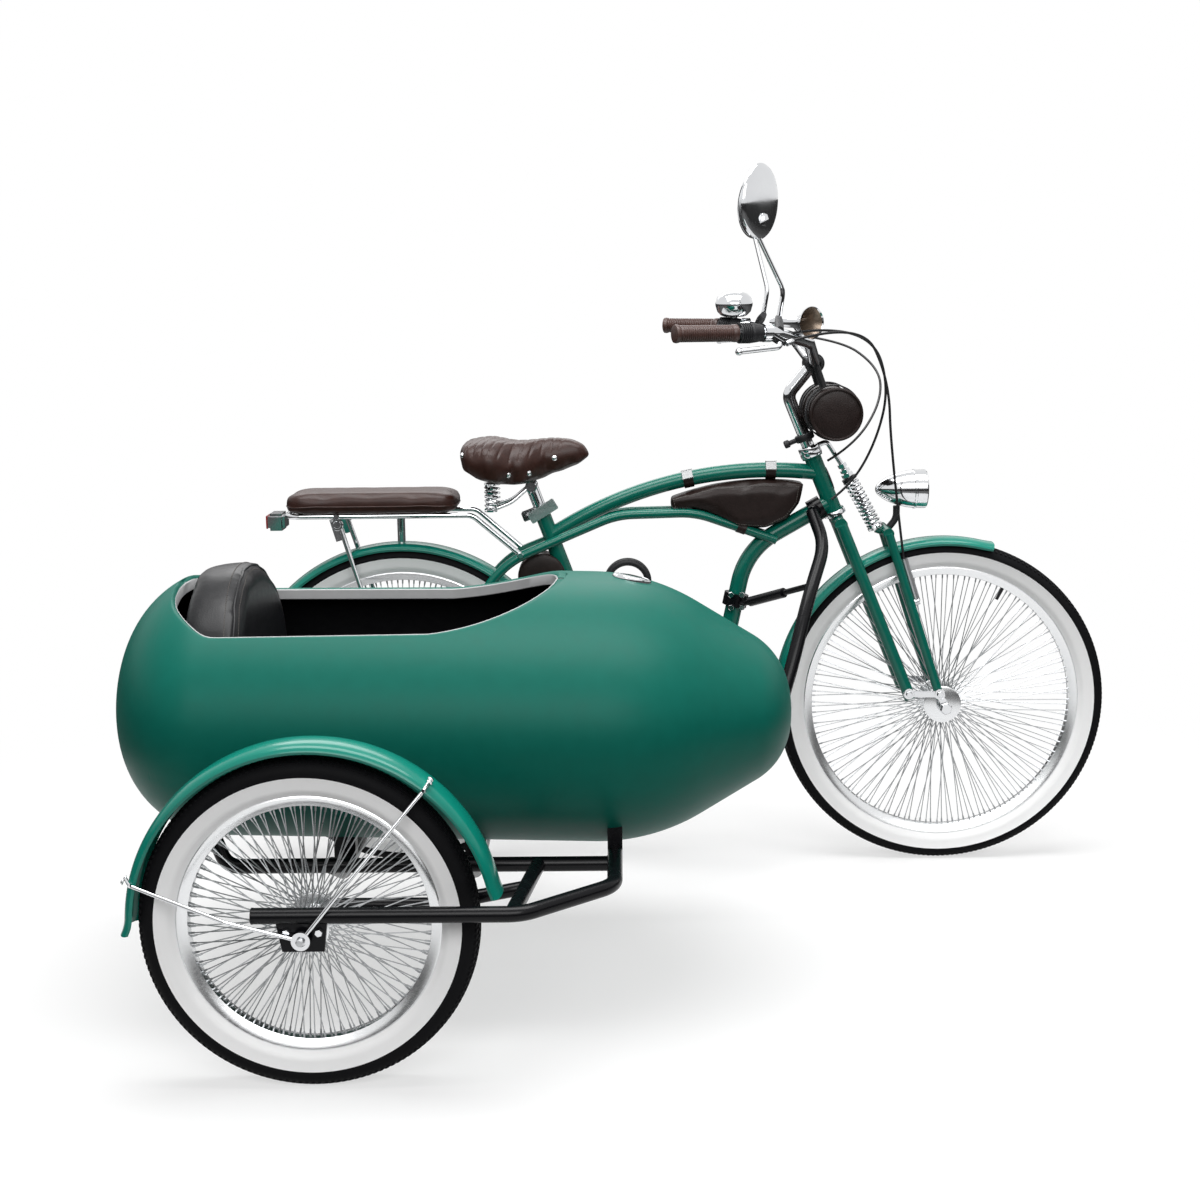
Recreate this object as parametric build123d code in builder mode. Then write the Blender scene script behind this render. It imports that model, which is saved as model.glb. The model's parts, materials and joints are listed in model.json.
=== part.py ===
"""Bicycle with a sidecar on its right, in millimetres.

+X is forward, +Y is the rider's left, +Z is up.
The ground is z = 0 and the origin is the middle of the outline on the ground.
"""
import os
from math import cos, pi, radians, sin

from build123d import *

os.makedirs("parts", exist_ok=True)

# Driving dimensions
wheelbase = 1106
wheel_radius = 335
side_wheel_radius = 257
track = 1046
side_wheel_x = -22
bar_half_width = 351.8
axle_overhang = 92
body_tail = 393
body_gap = 270
wheel_gap = 136
head_lean = 22
head_height = 139
tyre_width = 54
spoke_count = 72
crank_length = 165
bottom_bracket_x = 453
bottom_bracket_z = 290
chain_y = -47
body_z = 486
body_half_height = 226
body_wall = 8
cross_z = 232
cross_radius = 14
rail_z = 277

# The body fills the room between the bicycle and the side wheel
body_half_width = (track - body_gap - wheel_gap) / 2
body_y = -body_gap - body_half_width
rail_y = -track + wheel_gap + 60
strut_y = -body_gap - 60
arm_y = -track - 65
inner_arm_y = -track + 68

# Places are drawn on axles 335 mm high and 1106 mm apart, and move with the real ones
drawn_radius = 335
drawn_wheelbase = 1106
wheel_scale = wheel_radius / drawn_radius
side_axle = side_wheel_radius / wheel_scale
arm_z = side_axle + 33

# Where the rear axle and the bicycle's middle plane lie in the whole
rear_axle_x = body_tail - (body_tail + wheelbase + wheel_radius) / 2
bike_y = (track + axle_overhang + bar_half_width) / 2 - bar_half_width


def along(x):
    """Where a drawn place from the rear axle comes to lie."""
    front = drawn_wheelbase - drawn_radius
    if x < drawn_radius:
        return x * wheel_scale
    if x > front:
        return wheelbase + (x - drawn_wheelbase) * wheel_scale
    return wheel_radius + (x - drawn_radius) * (wheelbase - 2 * wheel_radius) / (front - drawn_radius)


def height(z):
    """Where a drawn height above the ground comes to lie."""
    if z < 2 * drawn_radius:
        return z * wheel_scale
    return z + 2 * (wheel_radius - drawn_radius)


def at(x, y, z):
    """A point drawn from the rear axle, the bicycle's middle plane and the ground."""
    return Vector(rear_axle_x + along(x), bike_y + y, height(z))


def place(point):
    """A point as it is, or one drawn from the rear axle."""
    return point if isinstance(point, Vector) else at(*point)


def tube(points, radius, bend):
    """A round bar along points whose corners are bent."""
    places = [place(point) for point in points]
    with BuildPart() as bar:
        with BuildLine() as path:
            if len(places) == 2:
                Line(*places)
            else:
                FilletPolyline(*places, radius=bend)
        with BuildSketch(Plane(origin=path.line @ 0, z_dir=path.line % 0)):
            Circle(radius)
        sweep()
    return bar.part


def rod(start, end, radius):
    """A straight round bar between two points."""
    first = place(start)
    span = place(end) - first
    with BuildPart() as bar:
        with BuildSketch(Plane(origin=first, z_dir=span)):
            Circle(radius)
        extrude(amount=span.length)
    return bar.part


def crosswise(x, z, y_from, y_to, radius):
    """A round bar across the bicycle."""
    return rod((x, y_from, z), (x, y_to, z), radius)


def flat_piece(outline, start, thickness):
    """A flat piece across the bicycle, with its outline in the side view from a start point."""
    with BuildPart() as panel:
        with BuildSketch(Plane(origin=start, x_dir=(1, 0, 0), z_dir=(0, 1, 0))):
            with BuildLine():
                Polyline(*[(x, -z) for x, z in outline], close=True)
            make_face()
        extrude(amount=thickness)
    return panel.part


def side_panel(outline, y_from, y_to):
    """A flat piece whose outline is drawn from the rear axle and the ground."""
    return flat_piece([(along(x), height(z)) for x, z in outline], at(0, y_from, 0), y_to - y_from)


def block(x, y, z):
    """A box between the limits given for each direction."""
    low = at(x[0], min(y), z[0])
    high = at(x[1], max(y), z[1])
    size = high - low
    with BuildPart() as box:
        with Locations((low + high) / 2):
            Box(size.X, size.Y, size.Z)
    return box.part


def save(part, name):
    """Label a finished piece and write it."""
    part.label = name
    export_step(part, f"parts/{name}.step")


# Steering axis and its plane
steer_low = (886, 0, 725)
lean = radians(head_lean)
steer_up = Vector(-sin(lean), 0, cos(lean))
steer_ahead = Vector(cos(lean), 0, sin(lean))


def on_steer(up, ahead=0, y=0):
    """A point along the steering axis, and ahead of it in the side view."""
    return at(*steer_low) + steer_up * up + steer_ahead * ahead + Vector(0, y, 0)


steer_plane = Plane(origin=at(*steer_low), x_dir=steer_ahead, z_dir=steer_up)
steerer_radius = 12.7
head_radius = 17
cup_radius = 21
cup_height = 12

# Head tube with its two cups
with BuildPart() as head_tube:
    with BuildSketch(steer_plane):
        Circle(head_radius)
        Circle(steerer_radius + 0.5, mode=Mode.SUBTRACT)
    extrude(amount=head_height)
    with BuildSketch(steer_plane, steer_plane.offset(head_height - cup_height)):
        Circle(cup_radius)
        Circle(steerer_radius + 0.5, mode=Mode.SUBTRACT)
    extrude(amount=cup_height)
save(head_tube.part, "head_tube")

# Seat tube with the bottom bracket shell
seat_low = (bottom_bracket_x, 0, bottom_bracket_z)
seat_top = (290, 0, 731)
seat_tube_radius = 15.9
post_radius = 12.6
shell_half = 36.5
spindle_radius = 8
seat_span = at(*seat_top) - at(*seat_low)
seat_dir = seat_span.normalized()


def on_seat(up):
    """A point on the seat tube's axis, from its top."""
    return at(*seat_top) + seat_dir * up


seat_plane = Plane(origin=at(*seat_top), z_dir=seat_dir)
with BuildPart() as seat_tube:
    add(rod(seat_low, seat_top, seat_tube_radius))
    add(crosswise(bottom_bracket_x, bottom_bracket_z, -shell_half, shell_half, 20))
    add(rod(on_seat(-72), on_seat(2), post_radius + 0.05), mode=Mode.SUBTRACT)
    add(crosswise(bottom_bracket_x, bottom_bracket_z, -50, 50, spindle_radius + 0.05), mode=Mode.SUBTRACT)
save(seat_tube.part, "seat_tube")

# Top tube in one long curve
top_tube_radius = 15.5
top_points = (on_steer(92.8), at(560, 0, 796), at(306, 0, 688))
with BuildPart() as top_tube:
    with BuildLine() as top_path:
        ThreePointArc(*top_points)
    with BuildSketch(Plane(origin=top_path.line @ 0, z_dir=top_path.line % 0)):
        Circle(top_tube_radius)
    sweep()
    add(rod(on_steer(0), on_steer(head_height), head_radius), mode=Mode.SUBTRACT)
    add(rod(seat_low, seat_top, seat_tube_radius), mode=Mode.SUBTRACT)
save(top_tube.part, "top_tube")

# Down tube curving to the bottom bracket
down_radius = 17
down_run = [on_steer(27.7, -7.1), (705, 0, 655), (655, 0, 420), seat_low]
with BuildPart() as down_tube:
    add(tube(down_run, down_radius, 150))
    add(rod(on_steer(0), on_steer(head_height), head_radius), mode=Mode.SUBTRACT)
    add(head_tube.part, mode=Mode.SUBTRACT)
    add(rod(seat_low, seat_top, seat_tube_radius), mode=Mode.SUBTRACT)
    add(crosswise(bottom_bracket_x, bottom_bracket_z, -50, 50, 20), mode=Mode.SUBTRACT)
save(down_tube.part, "down_tube")

# Rear ends carry the axle between the stays
end_inner = 62
end_outer = 68
axle_radius = 5
stay_radius = 9.5

# Twin tubes from the down tube past the seat tube to the rear ends
with BuildPart() as twin_tubes:
    for side in (-1, 1):
        route = [
            (765, side * 14, 676),
            (600, side * 22, 735),
            (440, side * 26, 732),
            (215, side * 46, 640),
            (8, side * 64, 362),
        ]
        add(tube(route, stay_radius, 180))
    add(down_tube.part, mode=Mode.SUBTRACT)
    for side in (-1, 1):
        plate = crosswise(0, drawn_radius, side * end_inner, side * end_outer, 24)
        add(plate, mode=Mode.SUBTRACT)
save(twin_tubes.part, "twin_tubes")

# Chain stays with the rear ends
with BuildPart() as chain_stays:
    for side in (-1, 1):
        route = [
            (bottom_bracket_x, side * 22, bottom_bracket_z),
            (372, side * 25, 296),
            (310, side * 43, 303),
            (18, side * 61, 333),
        ]
        add(tube(route, 8, 40))
        add(crosswise(0, drawn_radius, side * end_inner, side * end_outer, 24))
    add(crosswise(bottom_bracket_x, bottom_bracket_z, -50, 50, 20), mode=Mode.SUBTRACT)
    add(rod(seat_low, seat_top, seat_tube_radius), mode=Mode.SUBTRACT)
    add(crosswise(0, drawn_radius, -90, 90, axle_radius + 0.02), mode=Mode.SUBTRACT)
save(chain_stays.part, "chain_stays")

# Seat post with its collar, the saddle clamp and two coil springs
saddle_clamp = on_seat(63.5)
saddle_base = 12.3
coil_height = 58
coil_turns = 6
with BuildPart() as seat_post:
    add(rod(on_seat(-62), on_seat(62), post_radius))
    add(rod(on_seat(0), on_seat(20), 20))
    add(rod(saddle_clamp - Vector(0, 26, 0), saddle_clamp + Vector(0, 26, 0), saddle_base - 0.3))
    for side in (-1, 1):
        coil = saddle_clamp + Vector(-80, side * 48, saddle_base - 0.3 - coil_height)
        coil_top = coil + Vector(0, 0, coil_height)
        add(rod(saddle_clamp + Vector(-4, side * 20, 0), coil + Vector(0, 0, 4), 4))
        add(rod(coil, coil_top, 8))
        for turn in range(coil_turns):
            with BuildSketch(Plane(origin=coil + Vector(0, 0, turn * coil_height / coil_turns))):
                Circle(13)
            extrude(amount=0.55 * coil_height / coil_turns)
save(seat_post.part, "seat_post")

# Saddle, wide at the back with a narrow nose, drawn from its clamp
saddle_plan = [(-146, 62), (-128, 108), (-78, 122), (-18, 92), (37, 42), (112, 28), (124, 14)]
saddle_side = [(-146, 67), (-132, 86), (-102, 99), (-28, 91), (62, 91), (112, 82), (124, 69),
               (116, 55), (44, 43), (18, saddle_base), (-96, saddle_base), (-128, 34)]
with BuildPart() as saddle:
    with BuildSketch(Plane(origin=saddle_clamp)):
        with BuildLine():
            back = [(x, -y) for x, y in reversed(saddle_plan)]
            Polyline(*saddle_plan, *back, close=True)
        make_face()
    extrude(amount=130)
    add(flat_piece(saddle_side, saddle_clamp - Vector(0, 130, 0), 260), mode=Mode.INTERSECT)
save(saddle.part, "saddle")


def fender(middle, radius, half_width, start, turn):
    """A curved guard over a wheel, from a start angle above the front, going back."""
    angle = radians(start)
    plane = Plane(origin=middle, x_dir=(cos(angle), 0, sin(angle)), z_dir=(-sin(angle), 0, cos(angle)))
    crown = 0.6 * half_width
    outer = [(radius, -crown), (radius, crown), (radius - 12, half_width)]
    inner = [(radius - 14, half_width - 2), (radius - 2, crown - 1), (radius - 2, 1 - crown)]
    ends = [(radius - 14, 2 - half_width), (radius - 12, -half_width)]
    with BuildPart() as guard:
        with BuildSketch(plane):
            with BuildLine():
                Polyline(*outer, *inner, *ends, close=True)
            make_face()
        revolve(axis=Axis(middle, (0, -1, 0)), revolution_arc=turn)
    return guard.part


# Rear fender with a wire stay on each side
fender_gap = 8.5
wire_angle = radians(152)
rear_place = at(0, 0, drawn_radius)
rear_guard = wheel_radius + fender_gap
with BuildPart() as rear_fender:
    add(fender(rear_place, rear_guard, 31, 22, 175))
    for side in (-1, 1):
        reach = rear_guard - 13
        edge = rear_place + Vector(reach * cos(wire_angle), side * 29.5, reach * sin(wire_angle))
        add(rod(edge, (-24, side * 58, 342), 3))
        add(crosswise(-22, 341, side * 57, side * end_inner, 4))
save(rear_fender.part, "rear_fender")

# Rear rack: one bent rail, two legs down to the axle and a fender bracket
rack_z = 738
rail_radius = 5.5
with BuildPart() as rack_frame:
    loop = [(246, 45, 655), (150, 50, rack_z), (-228, 50, rack_z), (-228, -50, rack_z),
            (150, -50, rack_z), (246, -45, 655)]
    add(tube(loop, rail_radius, 30))
    for side in (-1, 1):
        add(rod((-123, side * 51, rack_z), (-4, side * 74.5, 350), 5))
        add(crosswise(0, drawn_radius, side * 70, side * 76, 16))
    for x in (-130, 0, 90):
        add(crosswise(x, rack_z, -50, 50, 4.5))
    add(rod(rear_place + Vector(0, 0, rear_guard), (0, 0, rack_z), 8))
    add(twin_tubes.part, mode=Mode.SUBTRACT)
    add(rear_fender.part, mode=Mode.SUBTRACT)
    add(crosswise(0, drawn_radius, -90, 90, axle_radius + 0.02), mode=Mode.SUBTRACT)
save(rack_frame.part, "rack_frame")

# Pad on the rack
pad_base = rack_z + rail_radius + 0.3
with BuildPart() as rack_pad:
    add(block((-232, 124), (-72, 72), (pad_base, 783)))
    fillet(rack_pad.edges().filter_by(Axis.Z), 40)
    fillet(rack_pad.faces().sort_by(Axis.Z)[-1].edges(), 14)
save(rack_pad.part, "rack_pad")

# Tail lamp on the back of the rack
with BuildPart() as tail_lamp:
    add(block((-272, -234), (-30, 30), (706, 742)))
    fillet(tail_lamp.edges().filter_by(Axis.X), 8)
    add(rack_frame.part, mode=Mode.SUBTRACT)
save(tail_lamp.part, "tail_lamp")

# Rear axle with its nuts
with BuildPart() as rear_axle:
    add(crosswise(0, drawn_radius, -98, 88, axle_radius))
    add(crosswise(0, drawn_radius, -94, -85, 11))
    add(crosswise(0, drawn_radius, 76.5, 84, 11))
save(rear_axle.part, "rear_axle")

# Bag under the top tube
bag_half = 32
strap_share = 0.018
strap_places = []
for share in (0.172, 0.467):
    strap_places.append((top_path.line @ (share - strap_share), top_path.line @ (share + strap_share)))
bag_outline = [(548, 766), (640, 792), (740, 799), (822, 794), (814, 752), (788, 718),
               (742, 698), (690, 702), (548, 741)]
with BuildPart() as frame_bag:
    add(side_panel(bag_outline, -bag_half, bag_half))
    with BuildLine() as bag_path:
        ThreePointArc(*top_points)
    with BuildSketch(Plane(origin=bag_path.line @ 0, z_dir=bag_path.line % 0)):
        Circle(top_tube_radius + 0.4)
    sweep(mode=Mode.SUBTRACT)
    for side in (-1, 1):
        gap_route = [(765, side * 14, 676), (600, side * 22, 735), (440, side * 26, 732),
                     (215, side * 46, 640), (8, side * 64, 362)]
        add(tube(gap_route, stay_radius + 0.4, 180), mode=Mode.SUBTRACT)
    add(tube(down_run, down_radius + 0.4, 150), mode=Mode.SUBTRACT)
    for start, end in strap_places:
        spare = (end - start) * 0.03
        add(rod(start - spare, end + spare, top_tube_radius + 3.3), mode=Mode.SUBTRACT)
save(frame_bag.part, "frame_bag")

# Two straps round the top tube
strap_thickness = 2.5
with BuildPart() as frame_bag_straps:
    for start, end in strap_places:
        add(rod(start, end, top_tube_radius + 0.3 + strap_thickness))
        add(rod(start, end, top_tube_radius + 0.3), mode=Mode.SUBTRACT)
    add(top_tube.part, mode=Mode.SUBTRACT)
save(frame_bag_straps.part, "frame_bag_straps")

# Half-round tool bag behind the seat tube
with BuildPart() as tool_bag:
    add(crosswise(287, 606, -30, 30, 52))
    add(block((200, 400), (-40, 40), (500, 572)), mode=Mode.SUBTRACT)
    add(rod(seat_low, seat_top, seat_tube_radius + 0.4), mode=Mode.SUBTRACT)
    add(block((345, 400), (-40, 40), (500, 700)), mode=Mode.SUBTRACT)
    add(crosswise(0, drawn_radius, -40, 40, rear_guard + 0.4), mode=Mode.SUBTRACT)
save(tool_bag.part, "tool_bag")

# Coiled cable lock on a bracket at the seat tube
lock_x = 462
lock_z = 590
with BuildPart() as cable_lock:
    for y in (-7.4, 7.4):
        with Locations(Location(at(lock_x, y, lock_z), (90, 0, 0))):
            Torus(42, 7)
    add(block((358, 428), (-9, 9), (582, 596)))
    add(rod(on_seat(-165), on_seat(-145), 22))
    add(rod(seat_low, seat_top, seat_tube_radius), mode=Mode.SUBTRACT)
    add(tool_bag.part, mode=Mode.SUBTRACT)
save(cable_lock.part, "cable_lock")

# Chain in two straight runs and two wrapped ends
ring_radius = 92
sprocket_radius = 44


def chain_loop(margin):
    """The chain's loop round ring and sprocket, as one face in the side view."""
    with BuildSketch() as loop:
        with Locations((0, -wheel_radius)):
            Circle(sprocket_radius + margin)
        with Locations((along(bottom_bracket_x), -height(bottom_bracket_z))):
            Circle(ring_radius + margin)
        make_hull()
    return loop.sketch


with BuildPart() as chain:
    chain_plane = Plane(origin=at(0, chain_y - 4, 0), x_dir=(1, 0, 0), z_dir=(0, 1, 0))
    with BuildSketch(chain_plane):
        add(chain_loop(8))
        add(chain_loop(0.6), mode=Mode.SUBTRACT)
    extrude(amount=8)
save(chain.part, "chain")


# The body: a round form drawn out in width, its nose lower than its tail
tail_flat = 58
hood_start = 400
hood_radius = 360
hood_turn = 30
hood_line = 112
nose_radius = 122
body_slope = 0.026
level_x = 100
body_place = at(0, body_y, body_z)


def body_form(wall):
    """The sidecar's egg-shaped body, drawn in by a wall thickness."""
    tail = -body_tail + wall
    radius = body_half_height - wall
    with BuildPart() as egg:
        with BuildSketch():
            with BuildLine():
                up = Line((tail, 0), (tail, tail_flat))
                back = JernArc(up @ 1, (0, 1), radius - tail_flat, -90)
                roof = Line(back @ 1, (hood_start, radius))
                hood = JernArc(roof @ 1, (1, 0), hood_radius - wall, -hood_turn)
                fall = Line(hood @ 1, (hood @ 1) + (hood % 1) * hood_line)
                nose = JernArc(fall @ 1, fall % 1, nose_radius - wall, hood_turn - 90)
                tip = Line(nose @ 1, ((nose @ 1).X, 0))
                Line(tip @ 1, up @ 0)
            make_face()
        revolve(axis=Axis.X)
    width = (body_half_width - wall) / radius
    form = Matrix([[1, 0, 0, 0], [0, width, 0, 0], [-body_slope, 0, 1, body_slope * level_x], [0, 0, 0, 1]])
    return egg.part.transform_geometry(form).moved(Location(body_place))


def cockpit(drop):
    """The space above the rim of the cockpit, lowered by a drop."""
    side = 158 - drop
    rear = [(-322 - drop, -313), (-302 - drop, drop - 204), (-215, -side), (140, -side)]
    with BuildPart() as space:
        with BuildSketch(Plane(origin=body_place - Vector(0, 400, 0), x_dir=(1, 0, 0), z_dir=(0, 1, 0))):
            with BuildLine():
                edge = FilletPolyline(*rear, radius=60)
                lip = ThreePointArc(edge @ 1, (300 + 0.5 * drop, -side - 29), (378 + drop, -side - 72))
                top = Line(lip @ 1, (398 + drop, -313))
                Line(top @ 1, edge @ 0)
            make_face()
        extrude(amount=800)
    return space.part


body_outer = body_form(0)
body_inner = body_form(body_wall)
with BuildPart() as sidecar_shell:
    add(body_outer)
    add(body_inner, mode=Mode.SUBTRACT)
    add(cockpit(0), mode=Mode.SUBTRACT)
save(sidecar_shell.part, "sidecar_shell")

# Grey band inside the rim
with BuildPart() as cockpit_trim:
    add(body_form(body_wall + 0.4))
    add(body_form(body_wall + 4), mode=Mode.SUBTRACT)
    add(cockpit(26), mode=Mode.INTERSECT)
    add(cockpit(0), mode=Mode.SUBTRACT)
save(cockpit_trim.part, "cockpit_trim")

# Seat cushion on the floor
seat_back_x = -134
with BuildPart() as sidecar_seat:
    add(body_form(body_wall + 0.5))
    half = body_half_width - 130
    add(block((seat_back_x, 140), (body_y - half, body_y + half), (250, 420)), mode=Mode.INTERSECT)
save(sidecar_seat.part, "sidecar_seat")

# Padded back with a domed top, leaning to the rear behind the cushion
back_half = body_half_width - 108
back_top = 249
back_corner = 110
back_depth = 84
back_lean = radians(6)
with BuildPart() as sidecar_seat_back:
    face = Plane(origin=body_place + Vector(-160, 0, 0), x_dir=(0, 1, 0),
                 z_dir=(cos(back_lean), 0, sin(back_lean)))
    with BuildSketch(face):
        with BuildLine():
            low = Line((-back_half, -210), (back_half, -210))
            rise = Line(low @ 1, (back_half, back_top - back_corner))
            crest = ThreePointArc(rise @ 1, (0, back_top), (-back_half, back_top - back_corner))
            Line(crest @ 1, low @ 0)
        make_face()
    extrude(amount=-back_depth)
    with BuildPart(mode=Mode.PRIVATE) as back_room:
        add(body_form(body_wall + 0.5))
        add(cockpit(-0.3))
    add(back_room.part, mode=Mode.INTERSECT)
    with BuildPart(mode=Mode.PRIVATE) as trim_room:
        add(body_outer)
        add(body_form(body_wall + 4.5), mode=Mode.SUBTRACT)
        add(cockpit(27), mode=Mode.INTERSECT)
        add(cockpit(-0.3), mode=Mode.SUBTRACT)
    add(trim_room.part, mode=Mode.SUBTRACT)
save(sidecar_seat_back.part, "sidecar_seat_back")

# Oval cap on the hood
cap_slope = radians(12.2)
with BuildPart() as hood_cap:
    cap_place = body_place + Vector(467, 0, 210)
    with BuildSketch(Plane(origin=cap_place, z_dir=(sin(cap_slope), 0, cos(cap_slope))).offset(-6)):
        Ellipse(34, 24)
    extrude(amount=11)
    add(body_outer, mode=Mode.SUBTRACT)
save(hood_cap.part, "hood_cap")

# Chassis tubes under the body
tube_radius = 12
side_axle_radius = 8
cross_places = (side_wheel_x + 2, 200)
outer_run = [(-95, arm_y, arm_z), (300, arm_y, arm_z), (435, rail_y - 140, arm_z), (435, rail_y + 60, arm_z)]
plate_outline = [(-62, arm_z), (-52, side_axle - 21), (10, side_axle - 21), (16, arm_z)]
with BuildPart() as outer_arm:
    add(tube(outer_run, tube_radius, 60))
    add(side_panel(plate_outline, arm_y - 4, arm_y + 4))
    add(block((423, 447), (rail_y + 20, rail_y + 60), (min(arm_z, rail_z), 352)))
    add(body_outer, mode=Mode.SUBTRACT)
    axle_hole = crosswise(side_wheel_x, side_axle, arm_y - 9, arm_y + 9, side_axle_radius + 0.02)
    add(axle_hole, mode=Mode.SUBTRACT)
save(outer_arm.part, "outer_arm")

with BuildPart() as cross_tubes:
    ends = ((-95, 318), (-84, 300))
    for x, (end_y, end_z) in zip(cross_places, ends):
        run = [(x, rail_y, rail_z), (x, rail_y + 105, cross_z), (x, 105 - body_gap, cross_z),
               (x, end_y, end_z)]
        add(tube(run, cross_radius, 40))
        for y in (body_y - body_half_width + 200, body_y + body_half_width - 200):
            add(block((x - 18, x + 18), (y - 14, y + 14), (cross_z, 330)))
    add(rod((side_wheel_x + 2, -95, 318), (-2, -81, drawn_radius), 9))
    add(crosswise(0, drawn_radius, -84, -78, 16))
    add(crosswise(0, drawn_radius, -100, 0, axle_radius + 0.02), mode=Mode.SUBTRACT)
    add(crosswise(0, drawn_radius, -110, -84.3, 12), mode=Mode.SUBTRACT)
    add(rod((214, -48.6, 312.9), (186, -50.4, 315.7), 15))
    add(rod((200, -84, 300), (200, -58, 312), 10))
    add(chain_stays.part, mode=Mode.SUBTRACT)
    add(rack_frame.part, mode=Mode.SUBTRACT)
    add(body_outer, mode=Mode.SUBTRACT)
save(cross_tubes.part, "cross_tubes")

with BuildPart() as outer_rail:
    add(tube([(435, rail_y, rail_z), (-190, rail_y, rail_z), (-226, rail_y + 14, 362)], tube_radius, 30))
    add(rod((430, rail_y, rail_z), (430, rail_y, arm_z), tube_radius - 4))
    add(outer_arm.part, mode=Mode.SUBTRACT)
    add(cross_tubes.part, mode=Mode.SUBTRACT)
    add(body_outer, mode=Mode.SUBTRACT)
save(outer_rail.part, "outer_rail")

# Inner arm of the side wheel, on a link between the outer arm and the rail
link_share = (inner_arm_y - arm_y) / (rail_y - arm_y)
link_foot = (285 + 27 * link_share, inner_arm_y, arm_z + (rail_z - arm_z) * link_share)
inner_run = [link_foot, (160, inner_arm_y, side_axle), (-50, inner_arm_y, side_axle)]
with BuildPart() as inner_arm:
    add(rod((285, arm_y, arm_z), (312, rail_y, rail_z), tube_radius))
    add(tube(inner_run, 11, 60))
    add(outer_arm.part, mode=Mode.SUBTRACT)
    add(outer_rail.part, mode=Mode.SUBTRACT)
    add(crosswise(side_wheel_x, side_axle, inner_arm_y - 20, inner_arm_y + 20, side_axle_radius + 0.02),
        mode=Mode.SUBTRACT)
save(inner_arm.part, "inner_arm")

# Clamps on the bicycle's tubes with a tie rod to the strut
strut_radius = 13
strut_run = [(836, -36, 733), (852, -110, 679), (810, -200, 585), (774, -262, 464), (700, strut_y, 250),
             (-40, strut_y, 250)]
strut_line = tube(strut_run, strut_radius, 50)
tie_start = at(683, -12, 541)
tie_span = at(821, -176, 610) - tie_start
with BuildPart() as strut_clamps:
    add(rod(on_steer(26.4, -17.4), on_steer(22.9, -44.7), 24))
    add(rod((846, -8, 736), (836, -36, 733), 13))
    add(rod((685.7, 0, 564.7), (680.3, 0, 539.3), 25))
    add(rod(tie_start, tie_start + tie_span, 6))
    add(rod(tie_start + tie_span * 0.2, tie_start + tie_span * 0.64, 10))
    add(down_tube.part, mode=Mode.SUBTRACT)
    add(head_tube.part, mode=Mode.SUBTRACT)
    add(rod(on_steer(0), on_steer(head_height), head_radius), mode=Mode.SUBTRACT)
    add(strut_line, mode=Mode.SUBTRACT)
save(strut_clamps.part, "strut_clamps")

with BuildPart() as front_strut:
    add(strut_line)
    add(cross_tubes.part, mode=Mode.SUBTRACT)
save(front_strut.part, "front_strut")

# Sidecar axle, fender and fender stays
side_place = at(side_wheel_x, -track, side_axle)
with BuildPart() as sidecar_axle:
    add(crosswise(side_wheel_x, side_axle, -track - axle_overhang, -track + 82, side_axle_radius))
    add(crosswise(side_wheel_x, side_axle, arm_y - 26, arm_y - 19.5, 14))
    add(crosswise(side_wheel_x, side_axle, arm_y - 12.5, arm_y - 4.5, 12))
save(sidecar_axle.part, "sidecar_axle")

side_guard = side_wheel_radius + 26
side_guard_place = side_place + Vector(8, 0, 0)
with BuildPart() as sidecar_fender:
    add(fender(side_guard_place, side_guard, 36, 9, 173))
save(sidecar_fender.part, "sidecar_fender")

# Wire stays that clasp the fender's edge
eye_y = arm_y - 16
hub_eye = side_place + Vector(0, eye_y + track, 0)
with BuildPart() as fender_stays:
    for angle in (51, 165):
        way = Vector(cos(radians(angle)), 0, sin(radians(angle)))
        clasp = side_guard_place + way * (side_guard + 0.3) - Vector(0, 18, 0)
        shoulder = side_guard_place + way * (side_guard - 12) - Vector(0, 39.5, 0)
        knee = hub_eye + way * 0.4 * side_guard
        add(tube([shoulder, knee, hub_eye], 3, 20))
        add(rod(clasp + way * 3, shoulder + way * 3, 3))
    add(rod(hub_eye - Vector(0, 3, 0), hub_eye + Vector(0, 3, 0), 14))
    add(rod(hub_eye - Vector(0, 9, 0), hub_eye + Vector(0, 9, 0), side_axle_radius + 0.02),
        mode=Mode.SUBTRACT)
    add(sidecar_fender.part, mode=Mode.SUBTRACT)
    add(outer_arm.part, mode=Mode.SUBTRACT)
save(fender_stays.part, "fender_stays")

# Fork: steerer, crown and rear legs
front_place = at(drawn_wheelbase, 0, drawn_radius)
crown_drop = -16
axle_drop = (front_place - at(*steer_low)).dot(steer_up)
pivot_drop = axle_drop + 42
pin_drop = pivot_drop + 14
leg_y = 54
with BuildPart() as fork_rear:
    add(rod(on_steer(crown_drop), on_steer(head_height + 12), steerer_radius))
    add(rod(on_steer(crown_drop, 0, -leg_y), on_steer(crown_drop, 0, leg_y), 13))
    for side in (-1, 1):
        add(rod(on_steer(crown_drop, 0, side * leg_y), on_steer(pivot_drop, 0, side * leg_y), 12))
        pin_hole = rod(on_steer(pin_drop, 0, side * 48), on_steer(pin_drop, 0, side * 70), 6.02)
        add(pin_hole, mode=Mode.SUBTRACT)
save(fork_rear.part, "fork_rear")

# Front fender and the front legs that carry it
front_guard = wheel_radius + fender_gap
with BuildPart() as front_fender:
    add(fender(front_place, front_guard, 33, 73, 110))
save(front_fender.part, "front_fender")

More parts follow.
